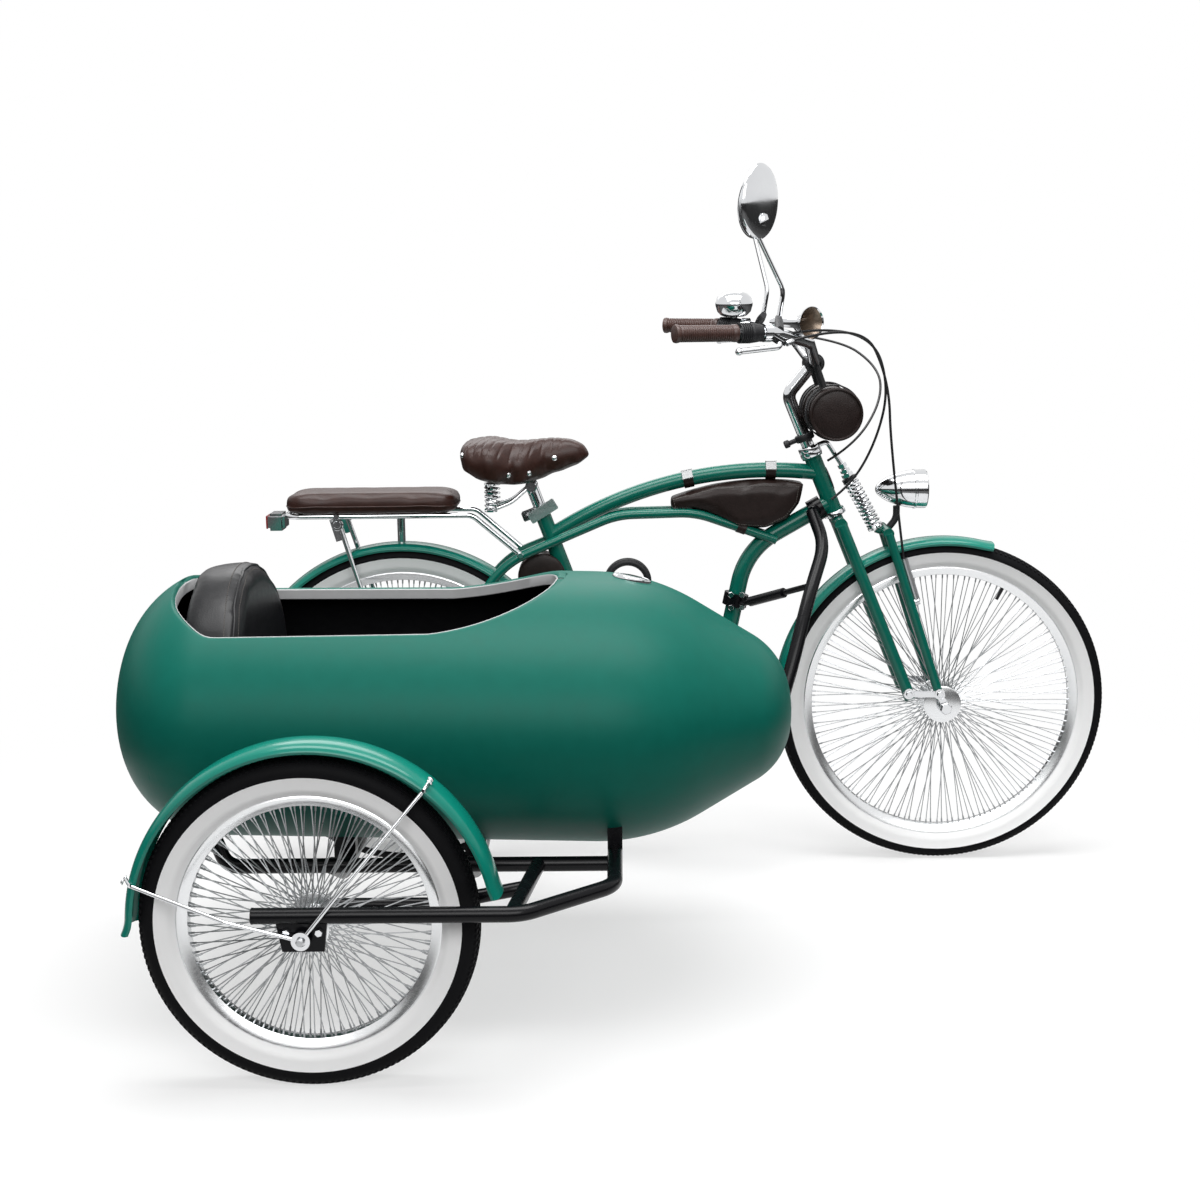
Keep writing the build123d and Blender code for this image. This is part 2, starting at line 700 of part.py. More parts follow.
front_crown = at(988, 0, 691)
fender_way = (front_crown - front_place).normalized()
leg_pin = front_place + Vector(-12, 0, 29)
spring_foot = at(969, 0, 697)
with BuildPart() as fork_front:
    add(rod(front_crown - Vector(0, 50, 0), front_crown + Vector(0, 50, 0), 11))
    for side in (-1, 1):
        add(rod(front_crown + Vector(0, side * 50, 0), front_place + Vector(-8, side * 56, 17), 9))
    add(rod(front_crown, front_place + fender_way * (front_guard - 1), 9))
    add(rod(front_crown, spring_foot, 10))
    for side in (-1, 1):
        pin_hole = rod(leg_pin + Vector(0, side * 52, 0), leg_pin + Vector(0, side * 70, 0), 5.02)
        add(pin_hole, mode=Mode.SUBTRACT)
    add(front_fender.part, mode=Mode.SUBTRACT)
save(fork_front.part, "fork_front")

# Rocker links and the front axle
pivot = on_steer(pivot_drop) - front_place
with BuildPart() as fork_rockers:
    for side in (-1, 1):
        link = [(pivot.X - 14, pivot.Z + 2), (pivot.X - 10, pivot.Z + 24), (-14, 43), (6, 25), (18, -1),
                (6, -15), (-10, -14)]
        add(flat_piece(link, front_place + Vector(0, side * 66.5, 0), side * 6.5))
        add(rod(on_steer(pin_drop, 0, side * 50), on_steer(pin_drop, 0, side * 70), 6))
        add(rod(leg_pin + Vector(0, side * 54, 0), leg_pin + Vector(0, side * 70, 0), 5))
    add(crosswise(drawn_wheelbase, drawn_radius, -84, 84, axle_radius))
save(fork_rockers.part, "fork_rockers")

# Fork spring with its top bracket
spring_top = at(913, 0, 799)
spring_turns = 10
with BuildPart() as fork_spring:
    axis = (spring_top - spring_foot).normalized()
    spring_length = (spring_top - spring_foot).length
    add(rod(spring_foot, spring_top + axis * 34, 6))
    for turn in range(spring_turns):
        centre = spring_foot + axis * (12 + turn * (spring_length - 12) / spring_turns)
        with BuildSketch(Plane(origin=centre, z_dir=axis)):
            Circle(16)
        extrude(amount=6)
    add(rod(spring_top + axis * 4, spring_top + axis * 20, 12))
    add(rod(on_steer(head_height + 1), on_steer(head_height + 12), 22))
    ring_up = head_height + 6.5
    add(tube([on_steer(ring_up), on_steer(ring_up, 38), spring_top + axis * 26], 5.4, 10))
    add(fork_rear.part, mode=Mode.SUBTRACT)
    add(fork_front.part, mode=Mode.SUBTRACT)
save(fork_spring.part, "fork_spring")

# Front rim brake
with BuildPart() as front_brake:
    for side in (-1, 1):
        add(rod((1048, side * 46, 552), (1020, side * 46, 640), 7))
        add(rod((1036, side * 46, 548), (1052, side * 46, 554), 8))
        add(crosswise(1033, 603, side * 46, side * 18, 6))
    add(fork_front.part, mode=Mode.SUBTRACT)
save(front_brake.part, "front_brake")

# Bullet headlamp on its bracket
lamp_z = 776
lamp_profile = [(-54, 0), (-50, 11), (-20, 29), (20, 39), (46, 39), (53, 36), (53, 0)]
with BuildPart() as headlamp:
    lamp_place = at(1020, 0, lamp_z)
    with BuildSketch(Plane(origin=lamp_place, x_dir=(1, 0, 0), z_dir=(0, -1, 0))):
        with BuildLine():
            Polyline(*lamp_profile, close=True)
        make_face()
    revolve(axis=Axis(lamp_place, (1, 0, 0)))
    add(tube([(1010, 0, 760), (1010, 0, 716), front_crown], 7, 15))
    add(fork_front.part, mode=Mode.SUBTRACT)
    add(fork_spring.part, mode=Mode.SUBTRACT)
save(headlamp.part, "headlamp")

# Stem and handlebar
bar_radius = 11.1
clamp = (838, 0, 1032)
bar_half_run = [(556, 1102, 334), (740, 1100, 262), (812, 1078, 160), (838, 1032, 40)]
bar_run = [(x, y, z) for x, z, y in bar_half_run] + [(x, -y, z) for x, z, y in reversed(bar_half_run)]
with BuildPart() as handlebar:
    add(tube(bar_run, bar_radius, 35))
save(handlebar.part, "handlebar")

with BuildPart() as stem:
    add(tube([on_steer(head_height + 12.5), (787, 0, 969), clamp], 12.7, 25))
    add(crosswise(clamp[0], clamp[2], -26, 26, 20))
    add(handlebar.part, mode=Mode.SUBTRACT)
save(stem.part, "stem")


def on_bar(inward, side):
    """A point on the grip's straight part of the bar, from its end."""
    first = at(556, side * 334, 1102)
    second = at(740, side * 262, 1100)
    return first + (second - first).normalized() * inward


with BuildPart() as grips:
    for side in (-1, 1):
        add(rod(on_bar(-8, side), on_bar(118, side), 16))
        add(rod(on_bar(121, side), on_bar(168, side), 19))
    add(handlebar.part, mode=Mode.SUBTRACT)
save(grips.part, "grips")

with BuildPart() as brake_levers:
    for side in (-1, 1):
        hinge = on_bar(178, side)
        elbow = hinge + Vector(40, side * 10, -24)
        add(rod(on_bar(171, side), on_bar(186, side), 17))
        add(tube([hinge, elbow, hinge + Vector(-54, side * 49, -32)], 5.5, 12))
    add(handlebar.part, mode=Mode.SUBTRACT)
save(brake_levers.part, "brake_levers")

# Bell on the left, horn on the right
bell_place = on_bar(144, 1) + Vector(7, -2.5, 46.5)
bell_profile = [(0, -27), (24, -27), (37, -14), (40, 0), (37, 14), (24, 27), (0, 27)]
with BuildPart() as bell:
    with BuildSketch(Plane(origin=bell_place, x_dir=(1, 0, 0), z_dir=(0, -1, 0))):
        with BuildLine():
            Polyline(*bell_profile, close=True)
        make_face()
    revolve(axis=Axis(bell_place, (0, 0, 1)))
    add(rod(bell_place - Vector(0, 0, 42), bell_place, 7))
    add(grips.part, mode=Mode.SUBTRACT)
    add(handlebar.part, mode=Mode.SUBTRACT)
save(bell.part, "bell")

horn_mouth = at(812, -206, 1116)
horn_way = Vector(0.72, -0.69, 0).normalized()
horn_length = 111
horn_profile = [(0, 0), (9, 0), (11, 60), (17, 90), (31, 108), (31, horn_length), (0, horn_length)]
with BuildPart() as horn:
    horn_plane = Plane(origin=horn_mouth - horn_way * horn_length, x_dir=(0, 0, 1),
                       z_dir=Vector(0, 0, 1).cross(horn_way))
    with BuildSketch(horn_plane):
        with BuildLine():
            Polyline(*horn_profile, close=True)
        make_face()
    revolve(axis=Axis(horn_plane.origin, horn_way))
    add(rod(horn_mouth - horn_way * 52, (796, -182, 1084), 6))
    add(handlebar.part, mode=Mode.SUBTRACT)
save(horn.part, "horn")

# Mirrors on bent stems
mirror_heads = ((-1, at(715, -215, 1340)), (1, at(742, 215, 1352)))
with BuildPart() as mirrors:
    for side, head in mirror_heads:
        foot = at(752, side * 180, 1124)
        add(rod(on_bar(205, side) + Vector(0, 0, 4), foot, 8))
        add(tube([foot, (761, side * 180, 1177), head - Vector(7, 0, 60), head - Vector(2, 0, 30)], 4.5, 12))
        tilt = Vector(0.66, -side * 0.75, 0)
        face = Plane(origin=head, x_dir=tilt, z_dir=(-0.75, -side * 0.66, 0))
        with BuildSketch(face.offset(-7)):
            Ellipse(54, 70, rotation=-8 * side)
        extrude(amount=14)
    add(handlebar.part, mode=Mode.SUBTRACT)
save(mirrors.part, "mirrors")

# Roll bag across the handlebar with two straps
roll_x = 873
roll_z = 936
roll_radius = 52.5
with BuildPart() as roll_bag:
    add(crosswise(roll_x, roll_z, -110, 110, roll_radius))
save(roll_bag.part, "roll_bag")

with BuildPart() as roll_bag_straps:
    for side in (-1, 1):
        add(crosswise(roll_x, roll_z, side * 40, side * 58, roll_radius + 3))
        add(rod((854, side * 49, 985), (836, side * 49, 1036), 7))
    add(crosswise(roll_x, roll_z, -120, 120, roll_radius + 0.4), mode=Mode.SUBTRACT)
    add(handlebar.part, mode=Mode.SUBTRACT)
save(roll_bag_straps.part, "roll_bag_straps")

# Brake cables looping in front of the handlebar
cable_radius = 2.5
right_start = on_bar(178, -1) + Vector(32, -8, -19)
left_start = on_bar(178, 1) + Vector(18, 4.5, -10.8)
cable_runs = (
    [right_start, (905, -190, 1122), (972, -120, 1005), (984, -80, 863), (1020, -46, 634)],
    [left_start, (905, 200, 1078), (985, 100, 1018), (985, 60, 950), (925, 0, 868), (866, -27, 838)],
)
with BuildPart() as brake_cables:
    for run in cable_runs:
        add(tube(run, cable_radius, 40))
    add(front_brake.part, mode=Mode.SUBTRACT)
    add(brake_levers.part, mode=Mode.SUBTRACT)
save(brake_cables.part, "brake_cables")


def tyre(middle, radius, rim):
    """A tyre on a wheel centre."""
    outline = [(rim, 14), (rim + 19, tyre_width / 2), (radius - 9, 20), (radius, 7)]
    back = [(r, -y) for r, y in reversed(outline)]
    with BuildPart() as ring:
        with BuildSketch(Plane(origin=middle)):
            with BuildLine():
                Polyline(*outline, *back, close=True)
            make_face()
        revolve(axis=Axis(middle, (0, 1, 0)))
    return ring.part


def wire_wheel(middle, rim, hub_half, flange, bore):
    """Rim, spokes and hub of a wire wheel."""
    rim_outline = [(rim - 16, 8), (rim - 0.3, 15), (rim - 0.3, -15), (rim - 16, -8)]
    side = hub_half - 12
    hub_outline = [(bore, -hub_half), (12, -hub_half), (12, -side - 2), (flange, -side - 2),
                   (flange, -side + 2), (17, -side + 2), (17, side - 2), (flange, side - 2),
                   (flange, side + 2), (12, side + 2), (12, hub_half), (bore, hub_half)]
    spokes = []
    for count in range(spoke_count):
        angle = 2 * pi * count / spoke_count
        twist = radians(40) * (1 if count % 4 < 2 else -1)
        y = side if count % 2 else -side
        inner = Vector(cos(angle + twist), 0, sin(angle + twist)) * (flange - 1.5) + Vector(0, y, 0)
        outer = Vector(cos(angle), 0, sin(angle)) * (rim - 14)
        with BuildPart() as spoke:
            with BuildSketch(Plane(origin=inner, z_dir=outer - inner)):
                Rectangle(2.2, 2.2)
            extrude(amount=(outer - inner).length)
        spokes.append(spoke.part)
    with BuildPart() as wheel:
        for outline in (rim_outline, hub_outline):
            with BuildSketch():
                with BuildLine():
                    Polyline(*outline, close=True)
                make_face()
            revolve(axis=Axis.Y)
        add(spokes)
    return wheel.part.moved(Location(middle))


# The three wheels
tyre_height = 49
side_tyre_height = 48
rim_radius = wheel_radius - tyre_height
side_rim_radius = side_wheel_radius - side_tyre_height
wheel_table = (
    ("front", front_place, wheel_radius, rim_radius, 48, 38, axle_radius + 0.05),
    ("rear", rear_place, wheel_radius, rim_radius, 52, 34, axle_radius + 0.05),
    ("sidecar", side_place, side_wheel_radius, side_rim_radius, 46, 34, side_axle_radius + 0.05),
)
for name, middle, radius, rim, hub_half, flange, bore in wheel_table:
    save(tyre(middle, radius, rim), f"{name}_tyre")
    save(wire_wheel(middle, rim, hub_half, flange, bore), f"{name}_wheel")

# Crankset: spindle, chainring, arms and pedal spindles
pedal_radius = 6
arm_offset = 66
bracket = at(bottom_bracket_x, 0, bottom_bracket_z)
across = Vector(0, 1, 0)
with BuildPart() as crankset:
    add(rod(bracket - across * arm_offset, bracket + across * arm_offset, spindle_radius))
    add(rod(bracket + across * (chain_y - 1.5), bracket + across * (chain_y + 1.5), ring_radius))
    for side in (-1, 1):
        hub = bracket + across * side * arm_offset
        eye = hub - Vector(side * crank_length, 0, 0)
        add(rod(hub, eye, 9))
        add(rod(hub - across * 9, hub + across * 9, 16))
        add(rod(eye - across * side * 8, eye + across * side * 94, pedal_radius))
save(crankset.part, "crankset")

for side, name in ((-1, "pedal_right"), (1, "pedal_left")):
    eye = bracket - Vector(side * crank_length, 0, 0)
    with BuildPart() as pedal:
        with Locations(eye + across * side * 124):
            Box(92, 88, 24)
        bore = rod(eye + across * side * 70, eye + across * side * 162, pedal_radius + 0.05)
        add(bore, mode=Mode.SUBTRACT)
    save(pedal.part, name)
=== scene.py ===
# %% [markdown]
# # A bicycle with a sidecar
# The imported parts come in as a fixed frame: every tube, wheel and fender is already in its place, in metres.
# This lesson dresses that frame. It gives each surface a finish, and it rebuilds the soft, wound and repeated
# pieces that solids only hint at.

# %% Load the frame
import json
from math import asin, cos, pi, radians, sin, sqrt

import bmesh
import bpy
from mathutils import Matrix, Vector

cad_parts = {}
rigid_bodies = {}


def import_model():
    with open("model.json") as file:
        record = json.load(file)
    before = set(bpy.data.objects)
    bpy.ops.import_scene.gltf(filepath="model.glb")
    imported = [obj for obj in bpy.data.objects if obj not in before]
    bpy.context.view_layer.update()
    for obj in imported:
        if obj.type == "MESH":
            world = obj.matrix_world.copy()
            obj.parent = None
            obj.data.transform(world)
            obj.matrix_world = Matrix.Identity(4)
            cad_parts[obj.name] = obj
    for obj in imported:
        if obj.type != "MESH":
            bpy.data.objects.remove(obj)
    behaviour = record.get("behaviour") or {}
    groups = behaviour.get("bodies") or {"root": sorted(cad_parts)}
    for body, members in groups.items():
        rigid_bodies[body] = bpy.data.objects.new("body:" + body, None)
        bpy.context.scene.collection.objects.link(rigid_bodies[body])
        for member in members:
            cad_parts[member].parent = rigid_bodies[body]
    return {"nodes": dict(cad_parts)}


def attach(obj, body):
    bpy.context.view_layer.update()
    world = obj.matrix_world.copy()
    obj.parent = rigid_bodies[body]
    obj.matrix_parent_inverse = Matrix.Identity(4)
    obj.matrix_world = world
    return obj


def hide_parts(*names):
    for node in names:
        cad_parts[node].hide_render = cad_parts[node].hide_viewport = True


for thing in list(bpy.data.objects):
    bpy.data.objects.remove(thing, do_unlink=True)
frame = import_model()
nodes = frame["nodes"]
scene = bpy.context.scene
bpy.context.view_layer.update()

# %% [markdown]
# All places below are read from the drawing: x from the rear axle, y from the bicycle's middle plane, z from the
# ground, in millimetres. One helper turns them into the frame's metres, so the numbers match the drawing.

# %% Places
REAR_AXLE_X = -524.0
BIKE_Y = 393.1
MM = 0.001
ACROSS = Vector((0, 1, 0))
UP = Vector((0, 0, 1))


def at(x, y, z):
    return Vector(((REAR_AXLE_X + x) * MM, (BIKE_Y + y) * MM, z * MM))


FRONT_AXLE, REAR_AXLE, SIDE_AXLE = at(1106, 0, 335), at(0, 0, 335), at(-22, -1046, 257)
CRANK = at(453, 0, 290)
SEAT_TOP = at(290, 0, 731)
SEAT_DIR = (SEAT_TOP - CRANK).normalized()
LEAN = radians(22)
STEER_UP = Vector((-sin(LEAN), 0, cos(LEAN)))
STEER_AHEAD = Vector((cos(LEAN), 0, sin(LEAN)))


def on_steer(up, ahead=0, y=0):
    """A place by the steering axis: up along it, ahead of it and across."""
    return at(886, y, 725) + (STEER_UP * up + STEER_AHEAD * ahead) * MM


def on_seat(up):
    """A place up along the seat post."""
    return SEAT_TOP + SEAT_DIR * up * MM


def on_bar(inward, side):
    """A place on the handlebar, inward from the end of a grip."""
    first, second = at(556, side * 334, 1102), at(740, side * 262, 1100)
    return first + (second - first).normalized() * inward * MM


STEER_FOOT = on_steer(0)
print("front axle at", [round(v, 3) for v in FRONT_AXLE])

# %% [markdown]
# The camera stands where the photographer stood: a little behind the middle, head high, looking slightly down.
# Its place and turn come from fitting the three wheel outlines, so the render lies over the photo.

# %% Camera
PHOTO_WIDTH, FOCAL_LENGTH = 1200, 1740.3
SENSOR = 36
camera_data = bpy.data.cameras.new("camera")
camera_data.sensor_fit = "HORIZONTAL"
camera_data.sensor_width = SENSOR
camera_data.lens = SENSOR * FOCAL_LENGTH / PHOTO_WIDTH
camera = bpy.data.objects.new("camera", camera_data)
scene.collection.objects.link(camera)
yaw, pitch, roll = 0.0132, 0.1794, -0.0121
right = Vector((cos(yaw), sin(yaw), 0))
ahead = Vector((-sin(yaw), cos(yaw), 0)) * cos(pitch) - Vector((0, 0, sin(pitch)))
above = right.cross(ahead)
across = right * cos(roll) + above * sin(roll)
upward = above * cos(roll) - right * sin(roll)
turn = Matrix((across, upward, -ahead)).transposed().to_4x4()
camera.matrix_world = Matrix.Translation(at(451.1, -3524.2, 1192)) @ turn
scene.camera = camera
print("camera lens", round(camera_data.lens, 2))

# %% [markdown]
# The photo is a cut-out on white with soft shadows under the wheels. A pale floor and a white world make the
# ground. Both look white to the camera and in reflections, but throw back little light, because the real studio
# left the underside of the body dark. Far from the object the floor fades into its own white, so no edge shows.

# %% World
scene.view_settings.view_transform = "Standard"


def seen_directly(tree):
    """One where a ray comes from the camera, a mirror or glass, and nought elsewhere."""
    path = tree.nodes.new("ShaderNodeLightPath")
    total = None
    for name in ("Is Camera Ray", "Is Glossy Ray", "Is Transmission Ray"):
        if total is None:
            total = path.outputs[name]
            continue
        join = tree.nodes.new("ShaderNodeMath")
        join.operation = "MAXIMUM"
        tree.links.new(total, join.inputs[0])
        tree.links.new(path.outputs[name], join.inputs[1])
        total = join.outputs[0]
    return total


world = bpy.data.worlds.new("studio")
scene.world = world
world.use_nodes = True
tree = world.node_tree
backdrop = tree.nodes["Background"]
backdrop.inputs["Color"].default_value = (1, 1, 1, 1)
spread = tree.nodes.new("ShaderNodeMapRange")
spread.inputs["To Min"].default_value = 0.16
spread.inputs["To Max"].default_value = 1.0
tree.links.new(seen_directly(tree), spread.inputs["Value"])
tree.links.new(spread.outputs["Result"], backdrop.inputs["Strength"])
print("world strength", spread.inputs["To Min"].default_value, "to", spread.inputs["To Max"].default_value)

# %% Floor
floor_finish = bpy.data.materials.new("pale_floor")
floor_finish.use_nodes = True
tree = floor_finish.node_tree
tree.nodes.remove(tree.nodes["Principled BSDF"])
dim = tree.nodes.new("ShaderNodeBsdfDiffuse")
dim.inputs["Color"].default_value = (0.22, 0.22, 0.22, 1)
pale = tree.nodes.new("ShaderNodeBsdfDiffuse")
pale.inputs["Color"].default_value = (0.95, 0.95, 0.95, 1)
glow = tree.nodes.new("ShaderNodeEmission")
shown = tree.nodes.new("ShaderNodeMixShader")
far = tree.nodes.new("ShaderNodeVectorMath")
far.operation = "LENGTH"
tree.links.new(tree.nodes.new("ShaderNodeTexCoord").outputs["Object"], far.inputs[0])
fade = tree.nodes.new("ShaderNodeMapRange")
fade.interpolation_type = "SMOOTHSTEP"
for socket, value in (("From Min", 0.9), ("From Max", 2.3), ("To Min", 0.6), ("To Max", 1.0)):
    fade.inputs[socket].default_value = value
tree.links.new(far.outputs["Value"], fade.inputs["Value"])
tree.links.new(fade.outputs["Result"], shown.inputs["Fac"])
tree.links.new(pale.outputs[0], shown.inputs[1])
tree.links.new(glow.outputs[0], shown.inputs[2])
ground = tree.nodes.new("ShaderNodeMixShader")
tree.links.new(seen_directly(tree), ground.inputs["Fac"])
tree.links.new(dim.outputs[0], ground.inputs[1])
tree.links.new(shown.outputs[0], ground.inputs[2])
tree.links.new(ground.outputs[0], tree.nodes["Material Output"].inputs["Surface"])
FLOOR_HALF = 30
corners = [(x * FLOOR_HALF, y * FLOOR_HALF, 0) for x, y in ((-1, -1), (1, -1), (1, 1), (-1, 1))]
sheet = bpy.data.meshes.new("floor")
sheet.from_pydata(corners, [], [(0, 1, 2, 3)])
sheet.materials.append(floor_finish)
floor = bpy.data.objects.new("floor", sheet)
scene.collection.objects.link(floor)
print("floor", 2 * FLOOR_HALF, "m wide")

# %% [markdown]
# Chrome is only as good as what it mirrors. Broad lamps overhead and in front draw the long soft highlights. A dark
# card on the ground round the set, which only reflections see, gives the chrome its dark lines. A small hard lamp
# would have been simpler, but it leaves spots and sharp shadows that a studio avoids.

# %% Lamps
def soft_lamp(name, place, aim, size, power):
    """A rectangular lamp of a size in metres, turned from its place to its aim."""
    lamp = bpy.data.lights.new(name, "AREA")
    lamp.shape = "RECTANGLE"
    lamp.size, lamp.size_y = size
    lamp.energy = power
    stand = bpy.data.objects.new(name, lamp)
    stand.location = place
    stand.rotation_euler = (Vector(aim) - Vector(place)).to_track_quat("-Z", "Y").to_euler()
    scene.collection.objects.link(stand)


soft_lamp("overhead", (0.0, -0.2, 3.6), (0, 0, 0.4), (3.6, 1.8), 150)
soft_lamp("front", (0.2, -5.0, 3.6), (0, 0, 0.5), (5.0, 2.4), 190)
soft_lamp("behind", (-0.6, 3.4, 3.0), (0, 0, 0.6), (3.0, 1.4), 36)

# %% Dark card
BOWL_SIDES = 64
BOWL_EDGES = [(1.75, 0.004), (8.0, 0.004), (8.0, 1.7)]
card_finish = bpy.data.materials.new("dark_card")
card_finish.use_nodes = True
card_shader = card_finish.node_tree.nodes["Principled BSDF"]
card_shader.inputs["Base Color"].default_value = (0.10, 0.10, 0.10, 1)
card_shader.inputs["Roughness"].default_value = 1.0
turns = [2 * pi * k / BOWL_SIDES for k in range(BOWL_SIDES)]
quads = []
for ring in range(len(BOWL_EDGES) - 1):
    for k in range(BOWL_SIDES):
        a, b = BOWL_SIDES * ring + k, BOWL_SIDES * ring + (k + 1) % BOWL_SIDES
        quads.append((a, b, b + BOWL_SIDES, a + BOWL_SIDES))
bowl = bpy.data.meshes.new("dark_bowl")
bowl.from_pydata([(r * cos(a), r * sin(a), z) for r, z in BOWL_EDGES for a in turns], [], quads)
bowl.materials.append(card_finish)
card = bpy.data.objects.new("dark_bowl", bowl)
scene.collection.objects.link(card)
card.visible_camera = card.visible_diffuse = card.visible_shadow = card.visible_transmission = False
print("dark card", len(bowl.polygons), "faces")

# %% [markdown]
# Every finish on the object shares a few effects: the faint cloudiness of sprayed paint, the pebbles of leather,
# the fine speckle of moulded rubber, the drawn lines of steel. Each effect is a shader node group that puts out a
# tone and a height. A material then mixes two colours by the tone, sets its gloss by it and bumps by the height.

# %% Surface effects
def effect(name, build):
    """A node group with a scale that puts out a tone and a height."""
    group = bpy.data.node_groups.new(name, "ShaderNodeTree")
    group.interface.new_socket("Scale", in_out="INPUT", socket_type="NodeSocketFloat")
    group.interface.new_socket("Tone", in_out="OUTPUT", socket_type="NodeSocketFloat")
    group.interface.new_socket("Height", in_out="OUTPUT", socket_type="NodeSocketFloat")
    start = group.nodes.new("NodeGroupInput")
    end = group.nodes.new("NodeGroupOutput")
    place = group.nodes.new("ShaderNodeTexCoord").outputs["Object"]
    tone, height = build(group, place, start.outputs["Scale"])
    group.links.new(tone, end.inputs["Tone"])
    group.links.new(height, end.inputs["Height"])
    return group


def sum_of(group, first, second, by):
    """A first value times a share, plus a second value."""
    node = group.nodes.new("ShaderNodeMath")
    node.operation = "MULTIPLY_ADD"
    group.links.new(first, node.inputs[0])
    node.inputs[1].default_value = by
    group.links.new(second, node.inputs[2])
    return node.outputs[0]


def cloud(group, place, scale, times=1.0, detail=3.0, stretch=None):
    """Soft noise at a multiple of the scale, stretched for drawn metal."""
    if stretch:
        mapped = group.nodes.new("ShaderNodeMapping")
        mapped.inputs["Scale"].default_value = stretch
        group.links.new(place, mapped.inputs["Vector"])
        place = mapped.outputs["Vector"]
    node = group.nodes.new("ShaderNodeTexNoise")
    node.inputs["Detail"].default_value = detail
    sized = group.nodes.new("ShaderNodeMath")
    sized.operation = "MULTIPLY"
    sized.inputs[1].default_value = times
    group.links.new(scale, sized.inputs[0])
    group.links.new(sized.outputs[0], node.inputs["Scale"])
    group.links.new(place, node.inputs["Vector"])
    return node.outputs["Fac"]


def cells(group, place, scale):
    """Rounded pebbles, as on leather."""
    node = group.nodes.new("ShaderNodeTexVoronoi")
    node.feature = "SMOOTH_F1"
    group.links.new(scale, node.inputs["Scale"])
    group.links.new(place, node.inputs["Vector"])
    return node.outputs["Distance"]


def sprayed(group, place, scale):
    return cloud(group, place, scale, 0.05), cloud(group, place, scale, 1.0, 1.0)


def hide(group, place, scale):
    pebbles = cells(group, place, scale)
    creases = cloud(group, place, scale, 0.12, 5.0)
    return creases, sum_of(group, creases, pebbles, by=0.5)


def moulded(group, place, scale):
    return cloud(group, place, scale, 0.08), cloud(group, place, scale, 1.0, 4.0)


def drawn(group, place, scale):
    lines = cloud(group, place, scale, 1.0, 2.0, (0.04, 1.0, 1.0))
    return lines, lines


EFFECTS = {make.__name__: effect(make.__name__, make) for make in (sprayed, hide, moulded, drawn)}
print("surface effects", sorted(EFFECTS))

# %% [markdown]
# A finish is two colours, a span of gloss, one of the effects and how deep it bumps. Bare metal is all metal, and
# glossy paint has a thin clear coat. One maker for all of them keeps the materials alike, and a number that is the
# same all over goes straight into the shader.

# %% Finishes
def finish(name, dark, light, gloss, look, scale, bump, metal=0.0, coat=0.0, shine=0.5):
    """A material. The gloss runs from and to a roughness, and the bump has a strength and a height in metres."""
    material = bpy.data.materials.new(name)
    material.use_nodes = True
    tree = material.node_tree
    shader = tree.nodes["Principled BSDF"]
    shader.inputs["Metallic"].default_value = metal
    shader.inputs["Coat Weight"].default_value = coat
    shader.inputs["Coat Roughness"].default_value = 0.06
    shader.inputs["Specular IOR Level"].default_value = shine
    surface = tree.nodes.new("ShaderNodeGroup")
    surface.node_tree = EFFECTS[look]
    surface.inputs["Scale"].default_value = scale
    blend = tree.nodes.new("ShaderNodeMix")
    blend.data_type = "RGBA"
    blend.inputs[6].default_value = (*dark, 1)
    blend.inputs[7].default_value = (*light, 1)
    tree.links.new(surface.outputs["Tone"], blend.inputs[0])
    tree.links.new(blend.outputs[2], shader.inputs["Base Color"])
    rough = tree.nodes.new("ShaderNodeMapRange")
    rough.inputs["To Min"].default_value, rough.inputs["To Max"].default_value = gloss
    tree.links.new(surface.outputs["Tone"], rough.inputs["Value"])
    tree.links.new(rough.outputs["Result"], shader.inputs["Roughness"])
    relief = tree.nodes.new("ShaderNodeBump")
    relief.inputs["Strength"].default_value = bump[0]
    relief.inputs["Distance"].default_value = bump[1]
    tree.links.new(surface.outputs["Height"], relief.inputs["Height"])
    tree.links.new(relief.outputs["Normal"], shader.inputs["Normal"])
    return material


gloss_green = finish("gloss_green", (0.001, 0.108, 0.076), (0.003, 0.138, 0.098), (0.18, 0.26),
                     "sprayed", 900, (0.05, 0.0002), coat=0.15, shine=0.25)
# The fenders' finish is the same gloss green paint made lighter: a lit copy, with painted light for the light their
# upturned tops catch from above.
lit_fender_green = finish("lit_fender_green", (0.002, 0.185, 0.136), (0.004, 0.225, 0.166), (0.18, 0.26),
                      "sprayed", 900, (0.05, 0.0002), coat=0.15, shine=0.25)
satin_green = finish("satin_green", (0.001, 0.100, 0.073), (0.002, 0.118, 0.087), (0.40, 0.48),
                     "sprayed", 700, (0.06, 0.0003), shine=0.12)
gloss_black = finish("gloss_black", (0.002, 0.002, 0.003), (0.004, 0.004, 0.005), (0.22, 0.32),
                     "sprayed", 800, (0.05, 0.0002), coat=0.05, shine=0.15)
chrome = finish("chrome", (0.62, 0.63, 0.65), (0.76, 0.77, 0.78), (0.05, 0.12),
                "sprayed", 300, (0.02, 0.0002), metal=1.0)
steel = finish("steel", (0.45, 0.46, 0.47), (0.62, 0.63, 0.64), (0.24, 0.38),
               "drawn", 900, (0.08, 0.0002), metal=1.0)
alloy = finish("alloy", (0.70, 0.71, 0.72), (0.80, 0.81, 0.82), (0.18, 0.30),
               "drawn", 500, (0.03, 0.0002), metal=1.0)
spoke_wire = finish("spoke_wire", (0.34, 0.35, 0.36), (0.44, 0.45, 0.46), (0.24, 0.34),
                    "drawn", 700, (0.02, 0.0002), metal=1.0)
tread_black = finish("tread_black", (0.003, 0.003, 0.0035), (0.007, 0.007, 0.008), (0.55, 0.75),
                     "moulded", 900, (0.3, 0.0004), shine=0.07)
wall_white = finish("wall_white", (0.93, 0.93, 0.93), (0.97, 0.97, 0.97), (0.42, 0.55),
                    "moulded", 600, (0.1, 0.0003))
